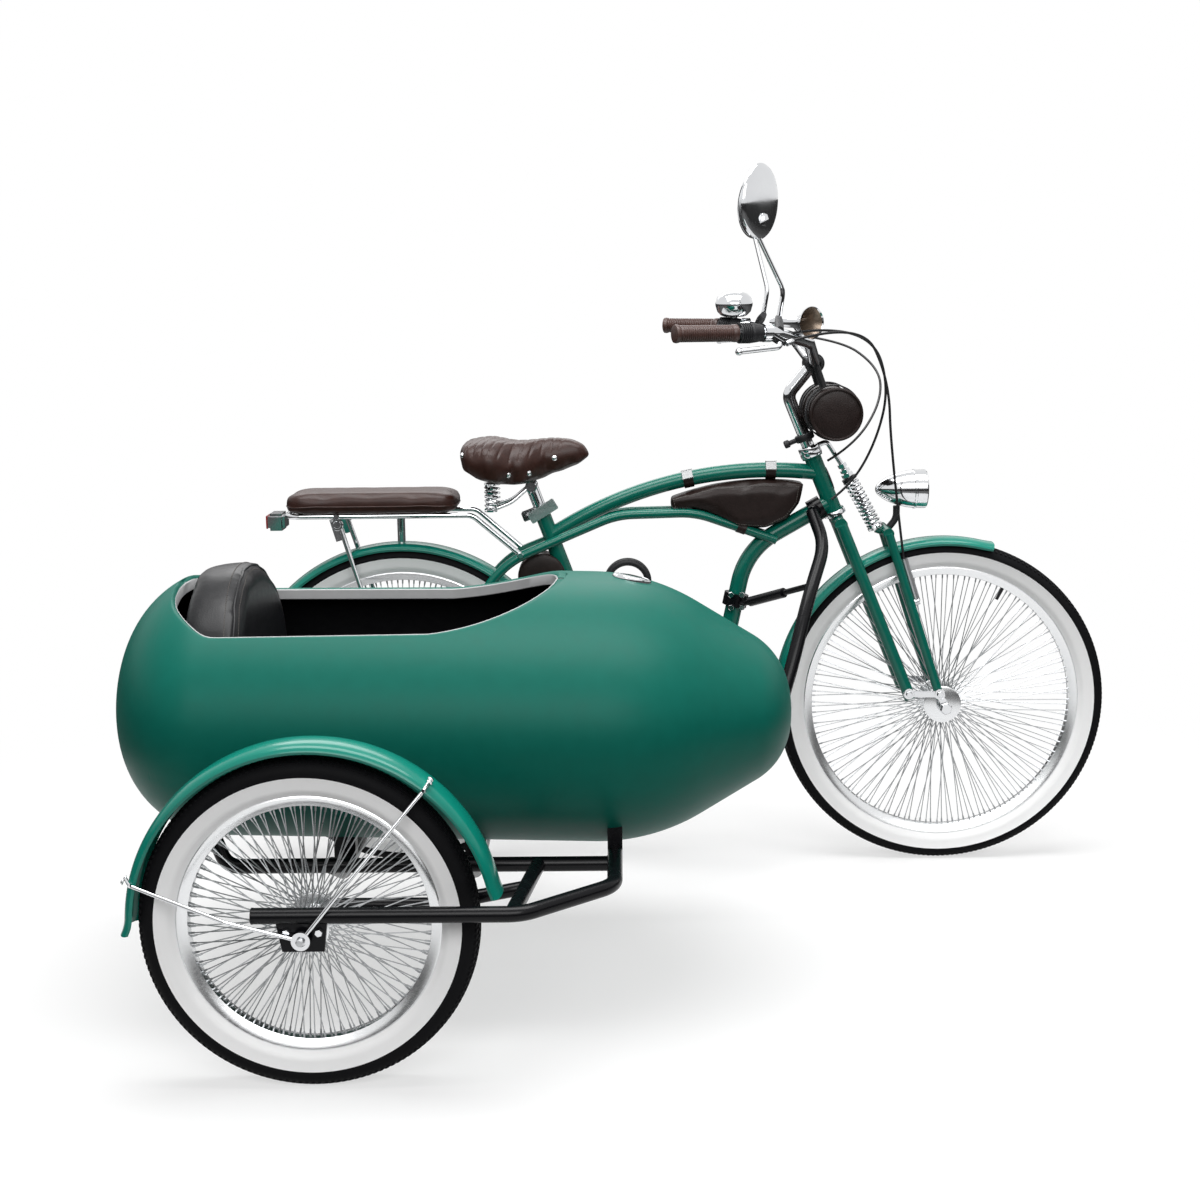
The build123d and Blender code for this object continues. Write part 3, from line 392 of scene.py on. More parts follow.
matt_black = finish("matt_black", (0.006, 0.006, 0.007), (0.016, 0.016, 0.018), (0.42, 0.6),
                    "moulded", 900, (0.15, 0.0003), shine=0.3)
cable_black = finish("cable_black", (0.004, 0.004, 0.005), (0.010, 0.010, 0.011), (0.3, 0.4),
                     "moulded", 1200, (0.1, 0.0002), shine=0.35)
saddle_brown = finish("saddle_brown", (0.016, 0.0055, 0.004), (0.040, 0.014, 0.0095), (0.30, 0.46),
                      "hide", 650, (0.25, 0.0006), shine=0.28)
bag_brown = finish("bag_brown", (0.007, 0.0032, 0.0026), (0.015, 0.0072, 0.006), (0.34, 0.5),
                   "hide", 600, (0.3, 0.0006), shine=0.22)
grip_brown = finish("grip_brown", (0.030, 0.012, 0.009), (0.062, 0.025, 0.018), (0.35, 0.5),
                    "hide", 800, (0.25, 0.0005))
seat_black = finish("seat_black", (0.003, 0.0032, 0.004), (0.008, 0.0085, 0.010), (0.28, 0.42),
                    "hide", 520, (0.25, 0.0007), coat=0.04, shine=0.2)
thread_pale = finish("thread_pale", (0.05, 0.045, 0.04), (0.10, 0.09, 0.08), (0.6, 0.8),
                     "moulded", 2000, (0.3, 0.0003))
trim_grey = finish("trim_grey", (0.38, 0.385, 0.39), (0.46, 0.465, 0.47), (0.38, 0.5),
                   "moulded", 800, (0.12, 0.0003))
lining_black = finish("lining_black", (0.004, 0.004, 0.005), (0.010, 0.010, 0.011), (0.7, 0.9),
                      "moulded", 700, (0.2, 0.0004), shine=0.06)
lamp_red = finish("lamp_red", (0.25, 0.006, 0.006), (0.36, 0.012, 0.010), (0.12, 0.2),
                  "sprayed", 500, (0.1, 0.0004), coat=0.6)
horn_bronze = finish("horn_bronze", (0.16, 0.12, 0.09), (0.28, 0.22, 0.17), (0.25, 0.4),
                     "drawn", 400, (0.05, 0.0003), metal=0.6)
lamp_glass = finish("lamp_glass", (0.62, 0.64, 0.66), (0.76, 0.78, 0.80), (0.05, 0.12),
                    "sprayed", 400, (0.1, 0.0004), coat=0.8)
mirror_glass = finish("mirror_glass", (0.80, 0.82, 0.84), (0.86, 0.88, 0.90), (0.02, 0.05),
                      "sprayed", 300, (0.01, 0.0001), metal=1.0)
print("finishes", len(bpy.data.materials))

# %% [markdown]
# Tubes, stays and arms are right as solids. They stay as they came and only get their finish: gloss green on the
# bicycle, gloss black under the sidecar, chrome on the fittings.

# %% Dress the kept solids
KEPT = {
    gloss_green: "head_tube top_tube down_tube seat_tube twin_tubes chain_stays fork_rear fork_front",
    gloss_black: "outer_arm cross_tubes outer_rail inner_arm strut_clamps front_strut",
    chrome: "seat_post rack_frame tail_lamp hood_cap fork_rockers handlebar stem brake_levers bell horn mirrors "
            "headlamp crankset fork_spring fender_stays",
    steel: "rear_axle sidecar_axle frame_bag_straps chain front_brake",
    trim_grey: "cockpit_trim",
    matt_black: "roll_bag_straps pedal_left pedal_right cable_lock",
    saddle_brown: "saddle rack_pad",
    bag_brown: "frame_bag tool_bag roll_bag",
    seat_black: "sidecar_seat sidecar_seat_back",
    grip_brown: "grips",
    satin_green: "sidecar_shell",
    cable_black: "brake_cables",
    tread_black: "front_tyre rear_tyre sidecar_tyre",
    alloy: "front_wheel rear_wheel sidecar_wheel",
    # the fenders take the lighter, lit copy of the gloss green: painted light from above
    lit_fender_green: "rear_fender front_fender sidecar_fender",
}
dressed = 0
for material, names in KEPT.items():
    for name in names.split():
        nodes[name].data.materials.clear()
        nodes[name].data.materials.append(material)
        dressed += 1
print("dressed", dressed, "of", len(nodes), "solids")

# %% [markdown]
# New pieces are plain meshes: a list of points and faces, or a profile turned about an axis, or a wire along a
# smooth curve. These few makers build them, join them, give each its finish and let it ride on its moving body.

# %% Mesh makers
def mesh_of(name, points, faces, closed=True):
    """A mesh from points and faces, with its doubles merged and, if closed, its faces turned outwards."""
    mesh = bpy.data.meshes.new(name)
    mesh.from_pydata([tuple(p) for p in points], [], faces)
    form = bmesh.new()
    form.from_mesh(mesh)
    bmesh.ops.remove_doubles(form, verts=form.verts, dist=1e-6)
    if closed:
        bmesh.ops.recalc_face_normals(form, faces=form.faces)
    form.to_mesh(mesh)
    form.free()
    return mesh


def turned(profile, middle, axis, steps=64, loop=False):
    """A profile of (along, out) in millimetres, turned about an axis through a middle point."""
    axis = Vector(axis).normalized()
    first = axis.orthogonal().normalized()
    second = axis.cross(first)
    count = len(profile)
    points, faces = [], []
    for step in range(steps):
        angle = 2 * pi * step / steps
        way = first * cos(angle) + second * sin(angle)
        points += [middle + (axis * a + way * r) * MM for a, r in profile]
    for step in range(steps):
        after = (step + 1) % steps
        for k in range(count if loop else count - 1):
            j = (k + 1) % count
            faces.append((step * count + k, step * count + j, after * count + j, after * count + k))
    return mesh_of("turned", points, faces)


def plain(thing):
    """The mesh that a thing shows once its modifiers are done."""
    bpy.context.view_layer.update()
    return bpy.data.meshes.new_from_object(thing.evaluated_get(bpy.context.evaluated_depsgraph_get()))


def line_of(name, points, smooth=True, ring=False, resolution=8):
    """A curve object along points: a soft curve, or straight from point to point."""
    data = bpy.data.curves.new(name, "CURVE")
    data.dimensions = "3D"
    line = data.splines.new("NURBS" if smooth else "POLY")
    line.points.add(len(points) - 1)
    for knot, point in zip(line.points, points):
        knot.co = (*point, 1)
    if smooth:
        line.order_u = 3
        line.use_endpoint_u = not ring
        line.resolution_u = resolution
    line.use_cyclic_u = ring
    holder = bpy.data.objects.new(name, data)
    scene.collection.objects.link(holder)
    return holder


def wire(points, radius, smooth=True, ring=False):
    """A round wire along points, as a mesh."""
    holder = line_of("wire", points, smooth, ring)
    data = holder.data
    data.bevel_depth = radius * MM
    data.bevel_resolution = 3
    data.use_fill_caps = not ring
    mesh = plain(holder)
    bpy.data.objects.remove(holder)
    bpy.data.curves.remove(data)
    return mesh


def bow(a, b, c, steps):
    """Points of a soft bend from one point, past the next, to the third."""
    return [a * (1 - t) ** 2 + b * 2 * t * (1 - t) + c * t * t for t in (k / steps for k in range(steps + 1))]


def joined(name, *meshes):
    """Several meshes as one. Each is a mesh, or a mesh with the number of its finish."""
    form = bmesh.new()
    for entry in meshes:
        mesh, number = entry if isinstance(entry, tuple) else (entry, 0)
        before = len(form.faces)
        form.from_mesh(mesh)
        form.faces.ensure_lookup_table()
        if isinstance(entry, tuple):
            for face in form.faces[before:]:
                face.material_index = number
    result = bpy.data.meshes.new(name)
    form.to_mesh(result)
    form.free()
    return result


def fit(name, mesh, body, finishes, slot, *stands_for, sharp=38):
    """A finished piece on its body, standing for the solids it replaces."""
    mesh.name = name
    numbers = [p.material_index for p in mesh.polygons]
    mesh.materials.clear()
    for material in finishes if isinstance(finishes, (list, tuple)) else [finishes]:
        mesh.materials.append(material)
    mesh.polygons.foreach_set("material_index", [min(n, len(mesh.materials) - 1) for n in numbers])
    mesh.polygons.foreach_set("use_smooth", [True] * len(mesh.polygons))
    mesh.set_sharp_from_angle(angle=radians(sharp))
    thing = bpy.data.objects.new(name, mesh)
    scene.collection.objects.link(thing)
    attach(thing, body)
    if stands_for:
        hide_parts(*stands_for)
    return thing


print("makers ready")

# %% [markdown]
# Bolts, rivets, spokes, tread blocks, links and stitches are one small shape set out many times. A Geometry Nodes
# tree does that: the places are points that carry two directions, the shape's own up and its own side, and the
# tree turns a copy to each. The copies are made real at the end, so that the piece is a plain mesh.

# %% Set out one shape many times
set_out_tree = bpy.data.node_groups.new("set_out", "GeometryNodeTree")
for label, kind in (("Places", "Geometry"), ("Shape", "Object"), ("Size", "Float"), ("Finish", "Material")):
    set_out_tree.interface.new_socket(label, in_out="INPUT", socket_type="NodeSocket" + kind)
set_out_tree.interface.new_socket("Pieces", in_out="OUTPUT", socket_type="NodeSocketGeometry")
link = set_out_tree.links.new
start = set_out_tree.nodes.new("NodeGroupInput")
end = set_out_tree.nodes.new("NodeGroupOutput")
shape_in = set_out_tree.nodes.new("GeometryNodeObjectInfo")
link(start.outputs["Shape"], shape_in.inputs["Object"])
rotation = None
for attribute, axis, pivot in (("facing", "Z", "AUTO"), ("side", "X", "Z")):
    way = set_out_tree.nodes.new("GeometryNodeInputNamedAttribute")
    way.data_type = "FLOAT_VECTOR"
    way.inputs["Name"].default_value = attribute
    align = set_out_tree.nodes.new("FunctionNodeAlignRotationToVector")
    align.axis, align.pivot_axis = axis, pivot
    link(way.outputs["Attribute"], align.inputs["Vector"])
    if rotation:
        link(rotation, align.inputs["Rotation"])
    rotation = align.outputs["Rotation"]
copies = set_out_tree.nodes.new("GeometryNodeInstanceOnPoints")
link(start.outputs["Places"], copies.inputs["Points"])
link(shape_in.outputs["Geometry"], copies.inputs["Instance"])
link(rotation, copies.inputs["Rotation"])
link(start.outputs["Size"], copies.inputs["Scale"])
real = set_out_tree.nodes.new("GeometryNodeRealizeInstances")
painted = set_out_tree.nodes.new("GeometryNodeSetMaterial")
link(copies.outputs["Instances"], real.inputs["Geometry"])
link(real.outputs["Geometry"], painted.inputs["Geometry"])
link(start.outputs["Finish"], painted.inputs["Material"])
link(painted.outputs["Geometry"], end.inputs["Pieces"])


def set_out(shape, places, material, size=1.0):
    """Copies of a shape mesh at places of (point, facing, side), as one mesh."""
    points = bpy.data.meshes.new("places")
    points.from_pydata([tuple(p[0]) for p in places], [], [])
    for number, attribute in ((1, "facing"), (2, "side")):
        values = points.attributes.new(attribute, "FLOAT_VECTOR", "POINT").data
        for entry, value in zip(places, values):
            value.vector = entry[number]
    pattern = bpy.data.objects.new("pattern", shape)
    holder = bpy.data.objects.new("places", points)
    scene.collection.objects.link(pattern)
    scene.collection.objects.link(holder)
    modifier = holder.modifiers.new("set_out", "NODES")
    modifier.node_group = set_out_tree
    values = {"Shape": pattern, "Size": size, "Finish": material}
    for item in set_out_tree.interface.items_tree:
        if item.in_out == "INPUT" and item.name in values:
            modifier[item.identifier] = values[item.name]
    mesh = plain(holder)
    holder.modifiers.remove(modifier)
    for thing in (holder, pattern):
        bpy.data.objects.remove(thing)
    return mesh


ORIGIN = Vector((0, 0, 0))
hex_head = turned([(0, 0), (0, 1), (0.7, 1), (0.9, 0.85), (0.9, 0)], ORIGIN, UP, 6)
round_head = turned([(0, 0), (0, 1), (0.3, 0.95), (0.6, 0.6), (0.7, 0)], ORIGIN, UP, 12)
print("set_out sockets", [i.name for i in set_out_tree.interface.items_tree])

# %% [markdown]
# A white-walled tyre is one rubber ring: a rounded section turned about the axle, white from the bead to the
# shoulder and black over the crown. The tread is rows of small blocks. Turning a profile keeps the wall smooth.
# The wheel inside it is a rim, a hub with two flanges and a dense fan of wires, each with a nipple at the rim.

# %% Wheels
def both_sides(half):
    """A closed section of (along, out) from its half of (out, along), mirrored across the wheel."""
    return [(y, r) for r, y in half] + [(-y, r) for r, y in reversed(half)]


def tyre_ring(middle, radius, rim, band):
    """The rubber ring, white from the rim to a band's edge."""
    half = [(rim - 4, 12), (rim + 4, 17), (rim + 8, 21.5), (rim + 16, 26), (band, 26.6), (band + 0.4, 26.9),
            (radius - 16, 25.8), (radius - 10, 22.2), (radius - 5, 16.5), (radius - 2.6, 9), (radius - 2, 3)]
    mesh = turned(both_sides(half), middle, ACROSS, 128, loop=True)
    for polygon in mesh.polygons:
        out = polygon.center - middle
        reach = sqrt(out.x ** 2 + out.z ** 2) / MM
        polygon.material_index = 0 if reach > band + 0.1 or abs(out.y) < 12.5 * MM else 1
    return mesh


BLOCK = ((-1, -1), (1, -1), (1.2, 1), (-0.8, 1))
block = mesh_of("block", [(x * 3.2 * MM, y * 2.6 * MM, z * 1.4 * MM) for z in (-1, 1) for x, y in BLOCK],
                [(0, 1, 2, 3), (7, 6, 5, 4), (0, 4, 5, 1), (1, 5, 6, 2), (2, 6, 7, 3), (3, 7, 4, 0)])
TREAD_ROWS = ((-17.5, 6), (-11, 3.2), (-4, 1.9), (4, 1.9), (11, 3.2), (17.5, 6))


def tread(middle, radius):
    """Rows of blocks round the crown, every second row shifted by half a block."""
    places = []
    count = int(radius * 0.62)
    for row, (y, depth) in enumerate(TREAD_ROWS):
        for step in range(count):
            angle = 2 * pi * (step + 0.5 * (row % 2)) / count
            out = Vector((cos(angle), 0, sin(angle)))
            lean = (out + ACROSS * y * 0.018).normalized()
            places.append((middle + out * (radius - depth) * MM + ACROSS * y * MM, lean, ACROSS))
    return set_out(block, places, tread_black)


SPOKES = 144
SPOKE_TWIST = radians(13)
SPOKE_RADIUS = 0.95


def spokes(middle, rim, hub_half, flange):
    """The fan of wires between both flanges and the rim, with a nipple on each."""
    places, nipples = [], []
    side = hub_half - 12
    for number in range(SPOKES):
        angle = 2 * pi * number / SPOKES
        twist = SPOKE_TWIST * (1 if number % 4 < 2 else -1)
        y = side if number % 2 else -side
        inner = Vector((cos(angle + twist), 0, sin(angle + twist))) * (flange - 2) * MM + ACROSS * y * MM
        outer = Vector((cos(angle), 0, sin(angle))) * (rim - 14) * MM + ACROSS * y * 0.1 * MM
        way = outer - inner
        places.append((middle + inner, way.normalized(), ACROSS))
        nipples.append((middle + outer - way.normalized() * 10 * MM, way.normalized(), ACROSS))
    length = way.length / MM
    bar = turned([(-2, 0), (-2, SPOKE_RADIUS), (length, SPOKE_RADIUS), (length, 0)], ORIGIN, UP, 6)
    nut = turned([(0, 0), (0, 1.5), (11, 1.8), (11, 0)], ORIGIN, UP, 6)
    return joined("spokes", set_out(bar, places, spoke_wire), set_out(nut, nipples, spoke_wire))


def wheel_metal(middle, rim, hub_half, flange, bore):
    """The rim and the hub, whose bore runs on the axle."""
    rim_half = [(rim - 16, 6), (rim - 15, 9.5), (rim - 9, 13), (rim - 4, 15.6), (rim - 0.5, 16.6), (rim + 1.5, 15.6),
                (rim - 2, 12)]
    side = hub_half - 12
    half = [(bore, hub_half), (11, hub_half), (13, hub_half - 3), (13, side + 4), (flange - 3, side + 2.6),
            (flange, side + 1.5), (flange, side - 1.5), (flange - 3, side - 2.6), (18, side - 5), (15, side - 12)]
    rim_ring = turned(both_sides(rim_half), middle, ACROSS, 128, loop=True)
    return rim_ring, turned(both_sides(half), middle, ACROSS, 64, loop=True)


print("tread rows", len(TREAD_ROWS), "spokes", SPOKES)

# %% Three wheels
# name, axle, tyre and rim radius, half hub, flange, bore, body, turn of the valve, edge of the white band
WHEELS = (
    ("front", FRONT_AXLE, 335, 281, 48, 38, 5.1, "wheel_front", 62, 313),
    ("rear", REAR_AXLE, 335, 281, 52, 34, 5.1, "wheel_rear", 62, 313),
    ("sidecar", SIDE_AXLE, 257, 198, 46, 34, 8.1, "wheel_side", 9, 230),
)
for name, middle, radius, rim, hub_half, flange, bore, body, valve_turn, band in WHEELS:
    rubber = joined(f"{name}_rubber", tyre_ring(middle, radius, rim, band), (tread(middle, radius), 0))
    fit(f"{name}_white_wall", rubber, body, [tread_black, wall_white], "tyre", f"{name}_tyre", sharp=50)
    rim_ring, hub = wheel_metal(middle, rim, hub_half, flange, bore)
    fan = spokes(middle, rim, hub_half, flange)
    valve_way = Vector((cos(radians(valve_turn)), 0, sin(radians(valve_turn))))
    valve = wire([middle + valve_way * (rim - 8) * MM, middle + valve_way * (rim - 42) * MM], 3.2, smooth=False)
    metal = joined(f"{name}_metal", (rim_ring, 0), (hub, 0), (fan, 1), (valve, 2))
    fit(f"{name}_wire_wheel", metal, body, [alloy, spoke_wire, matt_black], "alloy", f"{name}_wheel")
    print(name, "tyre", len(rubber.polygons), "wheel", len(metal.polygons), "faces")

# %% [markdown]
# The body of the sidecar is a moulded egg with an open cockpit. It could be cut out of a closed egg, but a cut
# leaves ragged faces along the rim. Here each station along the body is an oval that simply stops at the rim, for
# the outside and the lining alike, and a rounded bead closes the edge between the two.

# %% Sidecar outline
BODY = at(0, -590, 486)
TAIL_X, TAIL_FLAT, TALL = -393, 58, 226
HOOD_X, HOOD_BEND, HOOD_TURN = 400, 360, 30
CONE, NOSE = 112, 122
WIDE = 320 / TALL
SLOPE = 0.026


def egg_profile(wall):
    """Stations (x, radius) from the tail to the nose, drawn in by a wall."""
    tail, top = TAIL_X + wall, TALL - wall
    line = [(tail, TAIL_FLAT * k / 4) for k in range(1, 5)]
    bend = top - TAIL_FLAT
    quarter = [radians(90 * k / 40) for k in range(1, 41)]
    line += [(tail + bend - bend * cos(a), TAIL_FLAT + bend * sin(a)) for a in quarter]
    start_x = line[-1][0]
    line += [(start_x + (HOOD_X - start_x) * k / 70, top) for k in range(1, 71)]
    hood = HOOD_BEND - wall
    bows = [radians(HOOD_TURN * k / 20) for k in range(1, 21)]
    line += [(HOOD_X + hood * sin(a), top - hood + hood * cos(a)) for a in bows]
    x, r = line[-1]
    line += [(x + CONE * k / 10 * cos(radians(HOOD_TURN)), r - CONE * k / 10 * 0.5) for k in range(1, 11)]
    x, r = line[-1]
    nose = NOSE - wall
    cx, cr = x - nose * 0.5, r - nose * cos(radians(HOOD_TURN))
    tips = [radians(60 - 60 * k / 24) for k in range(1, 25)]
    line += [(cx + nose * cos(a), cr + nose * sin(a)) for a in tips]
    x, r = line[-1]
    return line + [(x, r * 0.5)]


def rim_line():
    """The cockpit's edge in the side view: a steep rear, a level side and a lip that rises to the hood."""
    p1, p2, p3, p4 = (Vector(p) for p in ((-322, 313), (-302, 204), (-215, 158), (140, 158)))
    d1, d2 = (p2 - p1).normalized(), (p3 - p2).normalized()
    line = [p1] + bow(p2 - d1 * 29, p2, p2 + d2 * 29, 10) + bow(p3 - d2 * 15, p3, p3 + Vector((15, 0)), 10)
    lip = [k / 30 for k in range(31)]
    return line + [Vector((p4.x + 238 * t, p4.y + 72 * (0.28 * t + 0.72 * t * t))) for t in lip]


RIM = rim_line()
NO_RIM = 999.0


def rim_height(x):
    """How high the cockpit's edge is at a station, or out of reach where the roof is closed."""
    if x <= RIM[0].x or x >= RIM[-1].x:
        return NO_RIM
    for a, b in zip(RIM, RIM[1:]):
        if a.x <= x <= b.x:
            return a.y + (b.y - a.y) * (x - a.x) / max(1e-6, b.x - a.x)
    return NO_RIM


def radius_at(known, x):
    """The radius between the stations that are known."""
    for (xa, ra), (xb, rb) in zip(known, known[1:]):
        if xa <= x <= xb:
            return ra + (rb - ra) * (x - xa) / max(1e-6, xb - xa)
    return known[0][1] if x < known[0][0] else known[-1][1]


ROWS = 56
CREASE_AT, CREASE_WIDE, CREASE_DEEP = -0.30, 0.03, 0.0022


def body_skin(wall, extra):
    """For each station, the half oval from the keel up to the rim or the roof, and whether the rim cuts it."""
    line = egg_profile(wall)
    known = sorted(line[4:-1])
    skin = []
    for x, r in line[:4] + sorted(known + [(x, radius_at(known, x)) for x in extra]) + line[-1:]:
        lift = SLOPE * x - SLOPE * 100
        top = pi / 2
        if r > 60 and rim_height(x) + lift < r:
            top = asin(max(-0.5, (rim_height(x) + lift) / r))
        arc = []
        for k in range(ROWS + 1):
            a = -pi / 2 + (top + pi / 2) * k / ROWS
            groove = 1 - CREASE_DEEP * max(0, 1 - abs(a - CREASE_AT) / CREASE_WIDE) if wall == 0 else 1
            arc.append(Vector((x, WIDE * r * cos(a) * groove, r * sin(a) - lift)))
        skin.append((arc, top < pi / 2 - 1e-4))
    return skin


WALL = 8
EXTRA = [-306, -305, -304.5, -304, -303.5, -303, -302, -300, -297, -293] + [340 + 1.5 * k for k in range(20)]
outside, lining = body_skin(0, EXTRA), body_skin(WALL, EXTRA)
cut = [k for k, (arc, is_cut) in enumerate(outside) if is_cut]
print("body stations", len(outside), "of which the cockpit cuts", len(cut))

# %% Sidecar body
points, faces, numbers = [], [], []
rows = ROWS + 1


def on_side(p, side):
    """A body point, or its mirror image on the other side."""
    return Vector((p.x, side * p.y, p.z))


def lay(skin, side, number, flip):
    """One half of a skin as a net of faces with the number of its finish."""
    base = len(points)
    points.extend(BODY + on_side(p, side) * MM for arc, is_cut in skin for p in arc)
    for s in range(len(skin) - 1):
        for k in range(rows - 1):
            a = base + s * rows + k
            quad = (a, a + 1, a + rows + 1, a + rows)
            faces.append(quad if flip else quad[::-1])
            numbers.append(number)


for side in (1, -1):
    lay(outside, side, 0, side < 0)
    lay(lining, side, 1, side > 0)
for skin, number, flip in ((outside, 0, False), (lining, 1, True)):
    for s, back in ((0, True), (-1, False)):
        arc = skin[s][0]
        ring = [BODY + on_side(p, side) * MM for side in (1, -1) for p in arc[::side]]
        base = len(points)
        points.extend(ring)
        loop = tuple(range(base, base + len(ring)))
        faces.append(loop[::-1] if back != flip else loop)
        numbers.append(number)
for side in (1, -1):
    strip = []
    for k in range(cut[0] - 1, cut[-1] + 2):
        o, i = on_side(outside[k][0][-1], side), on_side(lining[k][0][-1], side)
        lift = UP * 2.2 if outside[k][1] else ORIGIN
        row = [o, o * 0.8 + i * 0.2 + lift * 0.8, o * 0.5 + i * 0.5 + lift, o * 0.2 + i * 0.8 + lift * 0.7, i]
        strip.append([len(points) + n for n in range(5)])
        points.extend(BODY + p * MM for p in row)
    for a, b in zip(strip, strip[1:]):
        for n in range(4):
            quad = (a[n], a[n + 1], b[n + 1], b[n])
            faces.append(quad if side < 0 else quad[::-1])
            numbers.append(0)
shell = bpy.data.meshes.new("shell")
shell.from_pydata([tuple(p) for p in points], [], faces)
shell.polygons.foreach_set("material_index", numbers)
form = bmesh.new()
form.from_mesh(shell)
bmesh.ops.remove_doubles(form, verts=form.verts, dist=2e-5)
bmesh.ops.dissolve_degenerate(form, edges=form.edges, dist=2e-5)
form.to_mesh(shell)
form.free()
fit("sidecar_body", shell, "frame", [satin_green, lining_black], "body_green", "sidecar_shell", sharp=50)
print("sidecar body", len(shell.polygons), "faces")

# %% Rim edging
points, faces = [], []
heart = (outside[cut[0]][0][-1].x + outside[cut[-1]][0][-1].x) / 2
for side in (1, -1):
    strip = []
    for k in range(cut[0], cut[-1] + 1):
        edge = on_side(lining[k][0][-1], side)
        inward = Vector((0.15 * (heart - edge.x), -edge.y, 0)).normalized()
        row = [edge + UP * 0.5, edge + inward * 1.5 + UP * 1.6, edge + inward * 3.2,
               edge + inward * 3.4 - UP * 16, edge + inward * 1.5 - UP * 17.5]
        strip.append([len(points) + n for n in range(5)])
        points.extend(BODY + p * MM for p in row)
    for a, b in zip(strip, strip[1:]):
        faces += [(a[n], a[n + 1], b[n + 1], b[n])[::-side] for n in range(4)]
edging = mesh_of("rim_edging", points, faces, closed=False)
fit("rim_edging", edging, "frame", trim_grey, "trim_grey", "cockpit_trim")
print("rim edging", len(edging.polygons), "faces")

# %% [markdown]
# Each fender is a long curved sheet: a crowned section with turned-in edges, swept round its wheel. Its ends flare
# a little. The rear one carries a wire on each side. A sheet swept from one section stays smooth and thin.

# %% Fenders
FLARE_LENGTH = 26


def fender_sheet(middle, radius, half, start, turn, flare):
    """A sheet round a wheel, from a start angle through a turn, with the flare of each end."""
    section = [(-14, -half + 1.2), (-11.5, -half), (-7.5, -half * 0.95), (-3.6, -half * 0.8), (-1.2, -half * 0.55),
               (-0.2, -half * 0.28), (0.3, 0)]
    section += [(r, -y) for r, y in reversed(section[:-1])]
    section += [(r - 1.8, y * 0.965) for r, y in reversed(section)]
    points, faces = [], []
    steps = int(turn * 0.8)
    count = len(section)
    for step in range(steps + 1):
        angle = radians(start + turn * step / steps)
        out = Vector((cos(angle), 0, sin(angle)))
        ends = [max(0, 1 - k * radius * radians(turn) / steps / FLARE_LENGTH) for k in (step, steps - step)]
        kick = flare[0] * ends[0] ** 2 + flare[1] * ends[1] ** 2
        points += [middle + (out * (radius + r + kick) + ACROSS * y) * MM for r, y in section]
    for step in range(steps):
        for k in range(count):
            j = (k + 1) % count
            faces.append((step * count + k, step * count + j, (step + 1) * count + j, (step + 1) * count + k))
    faces.append(tuple(range(count)))
    faces.append(tuple(range(steps * count + count - 1, steps * count - 1, -1)))
    return mesh_of("fender", points, faces)


GUARD_RADIUS = 343.5
rear_sheet = fender_sheet(REAR_AXLE, GUARD_RADIUS, 31, 22, 175, (0, 3))
wires = []
reach = radians(152)
for side in (-1, 1):
    edge = REAR_AXLE + Vector((330.5 * cos(reach), side * 29.5, 330.5 * sin(reach))) * MM
    wires.append((wire([edge, at(-24, side * 58, 342), at(-22, side * 62, 341)], 3, smooth=False), 1))
rear_guard = joined("rear_guard", (rear_sheet, 0), *wires)
fit("rear_guard", rear_guard, "frame", [lit_fender_green, chrome], "paint_green", "rear_fender")
front_sheet = fender_sheet(FRONT_AXLE, GUARD_RADIUS, 33, 73, 110, (2, 3))
fit("front_guard", front_sheet, "steering", lit_fender_green, "paint_green", "front_fender")
side_sheet = fender_sheet(SIDE_AXLE + Vector((8, 0, 0)) * MM, 283, 36, 9, 173, (3, 7))
fit("sidecar_guard", side_sheet, "frame", lit_fender_green, "paint_green", "sidecar_fender")
print("fenders", len(rear_sheet.polygons), len(side_sheet.polygons), "faces")

# %% [markdown]
# The saddle, the rack pad, the bags and the sidecar's cushions are leather over foam. A block with rounded edges
# would look hard. Each one starts a little too small, gets an even skin of small faces and is blown up by a cloth
# simulation with air inside and no weight. How far a point may move is capped, so that each stays in its place.

# %% Saddle form
CLAMP = on_seat(63.5)


def eased(table, x):
    """A smooth value between the rows of a table of (place, value)."""
    for (xa, va), (xb, vb) in zip(table, table[1:]):
        if x <= xb:
            t = min(1.0, max(0.0, (x - xa) / (xb - xa)))
            if xa == table[0][0]:
                return va + (vb - va) * sqrt(t * (2 - t))
            return va + (vb - va) * t * t * (3 - 2 * t)
    return table[-1][1]


SADDLE_HALF = [(-146, 26), (-120, 106), (-80, 120), (-18, 88), (40, 47), (96, 36), (112, 29), (120, 18), (124, 7)]
SADDLE_TOP = [(-146, 74), (-116, 98), (-96, 99), (-22, 89), (50, 95), (84, 97), (106, 90), (119, 78), (124, 68)]
SADDLE_LOW = [(-146, 58), (-134, 36), (-100, 19), (-56, 13), (-14, 9), (20, 19), (52, 32), (100, 46), (124, 60)]


def saddle_point(x, a, grow=0.0):
    """A place on the saddle at a station and an angle over it."""
    half, top, low = (eased(t, x) for t in (SADDLE_HALF, SADDLE_TOP, SADDLE_LOW))
    c, s = cos(a), sin(a)
    y = (half + grow) * (1 if c > 0 else -1) * abs(c) ** 0.55 * (1 - 0.16 * (1 - s) ** 2)
    return CLAMP + Vector((x, y, low + (top + grow - low) * s ** 0.75)) * MM


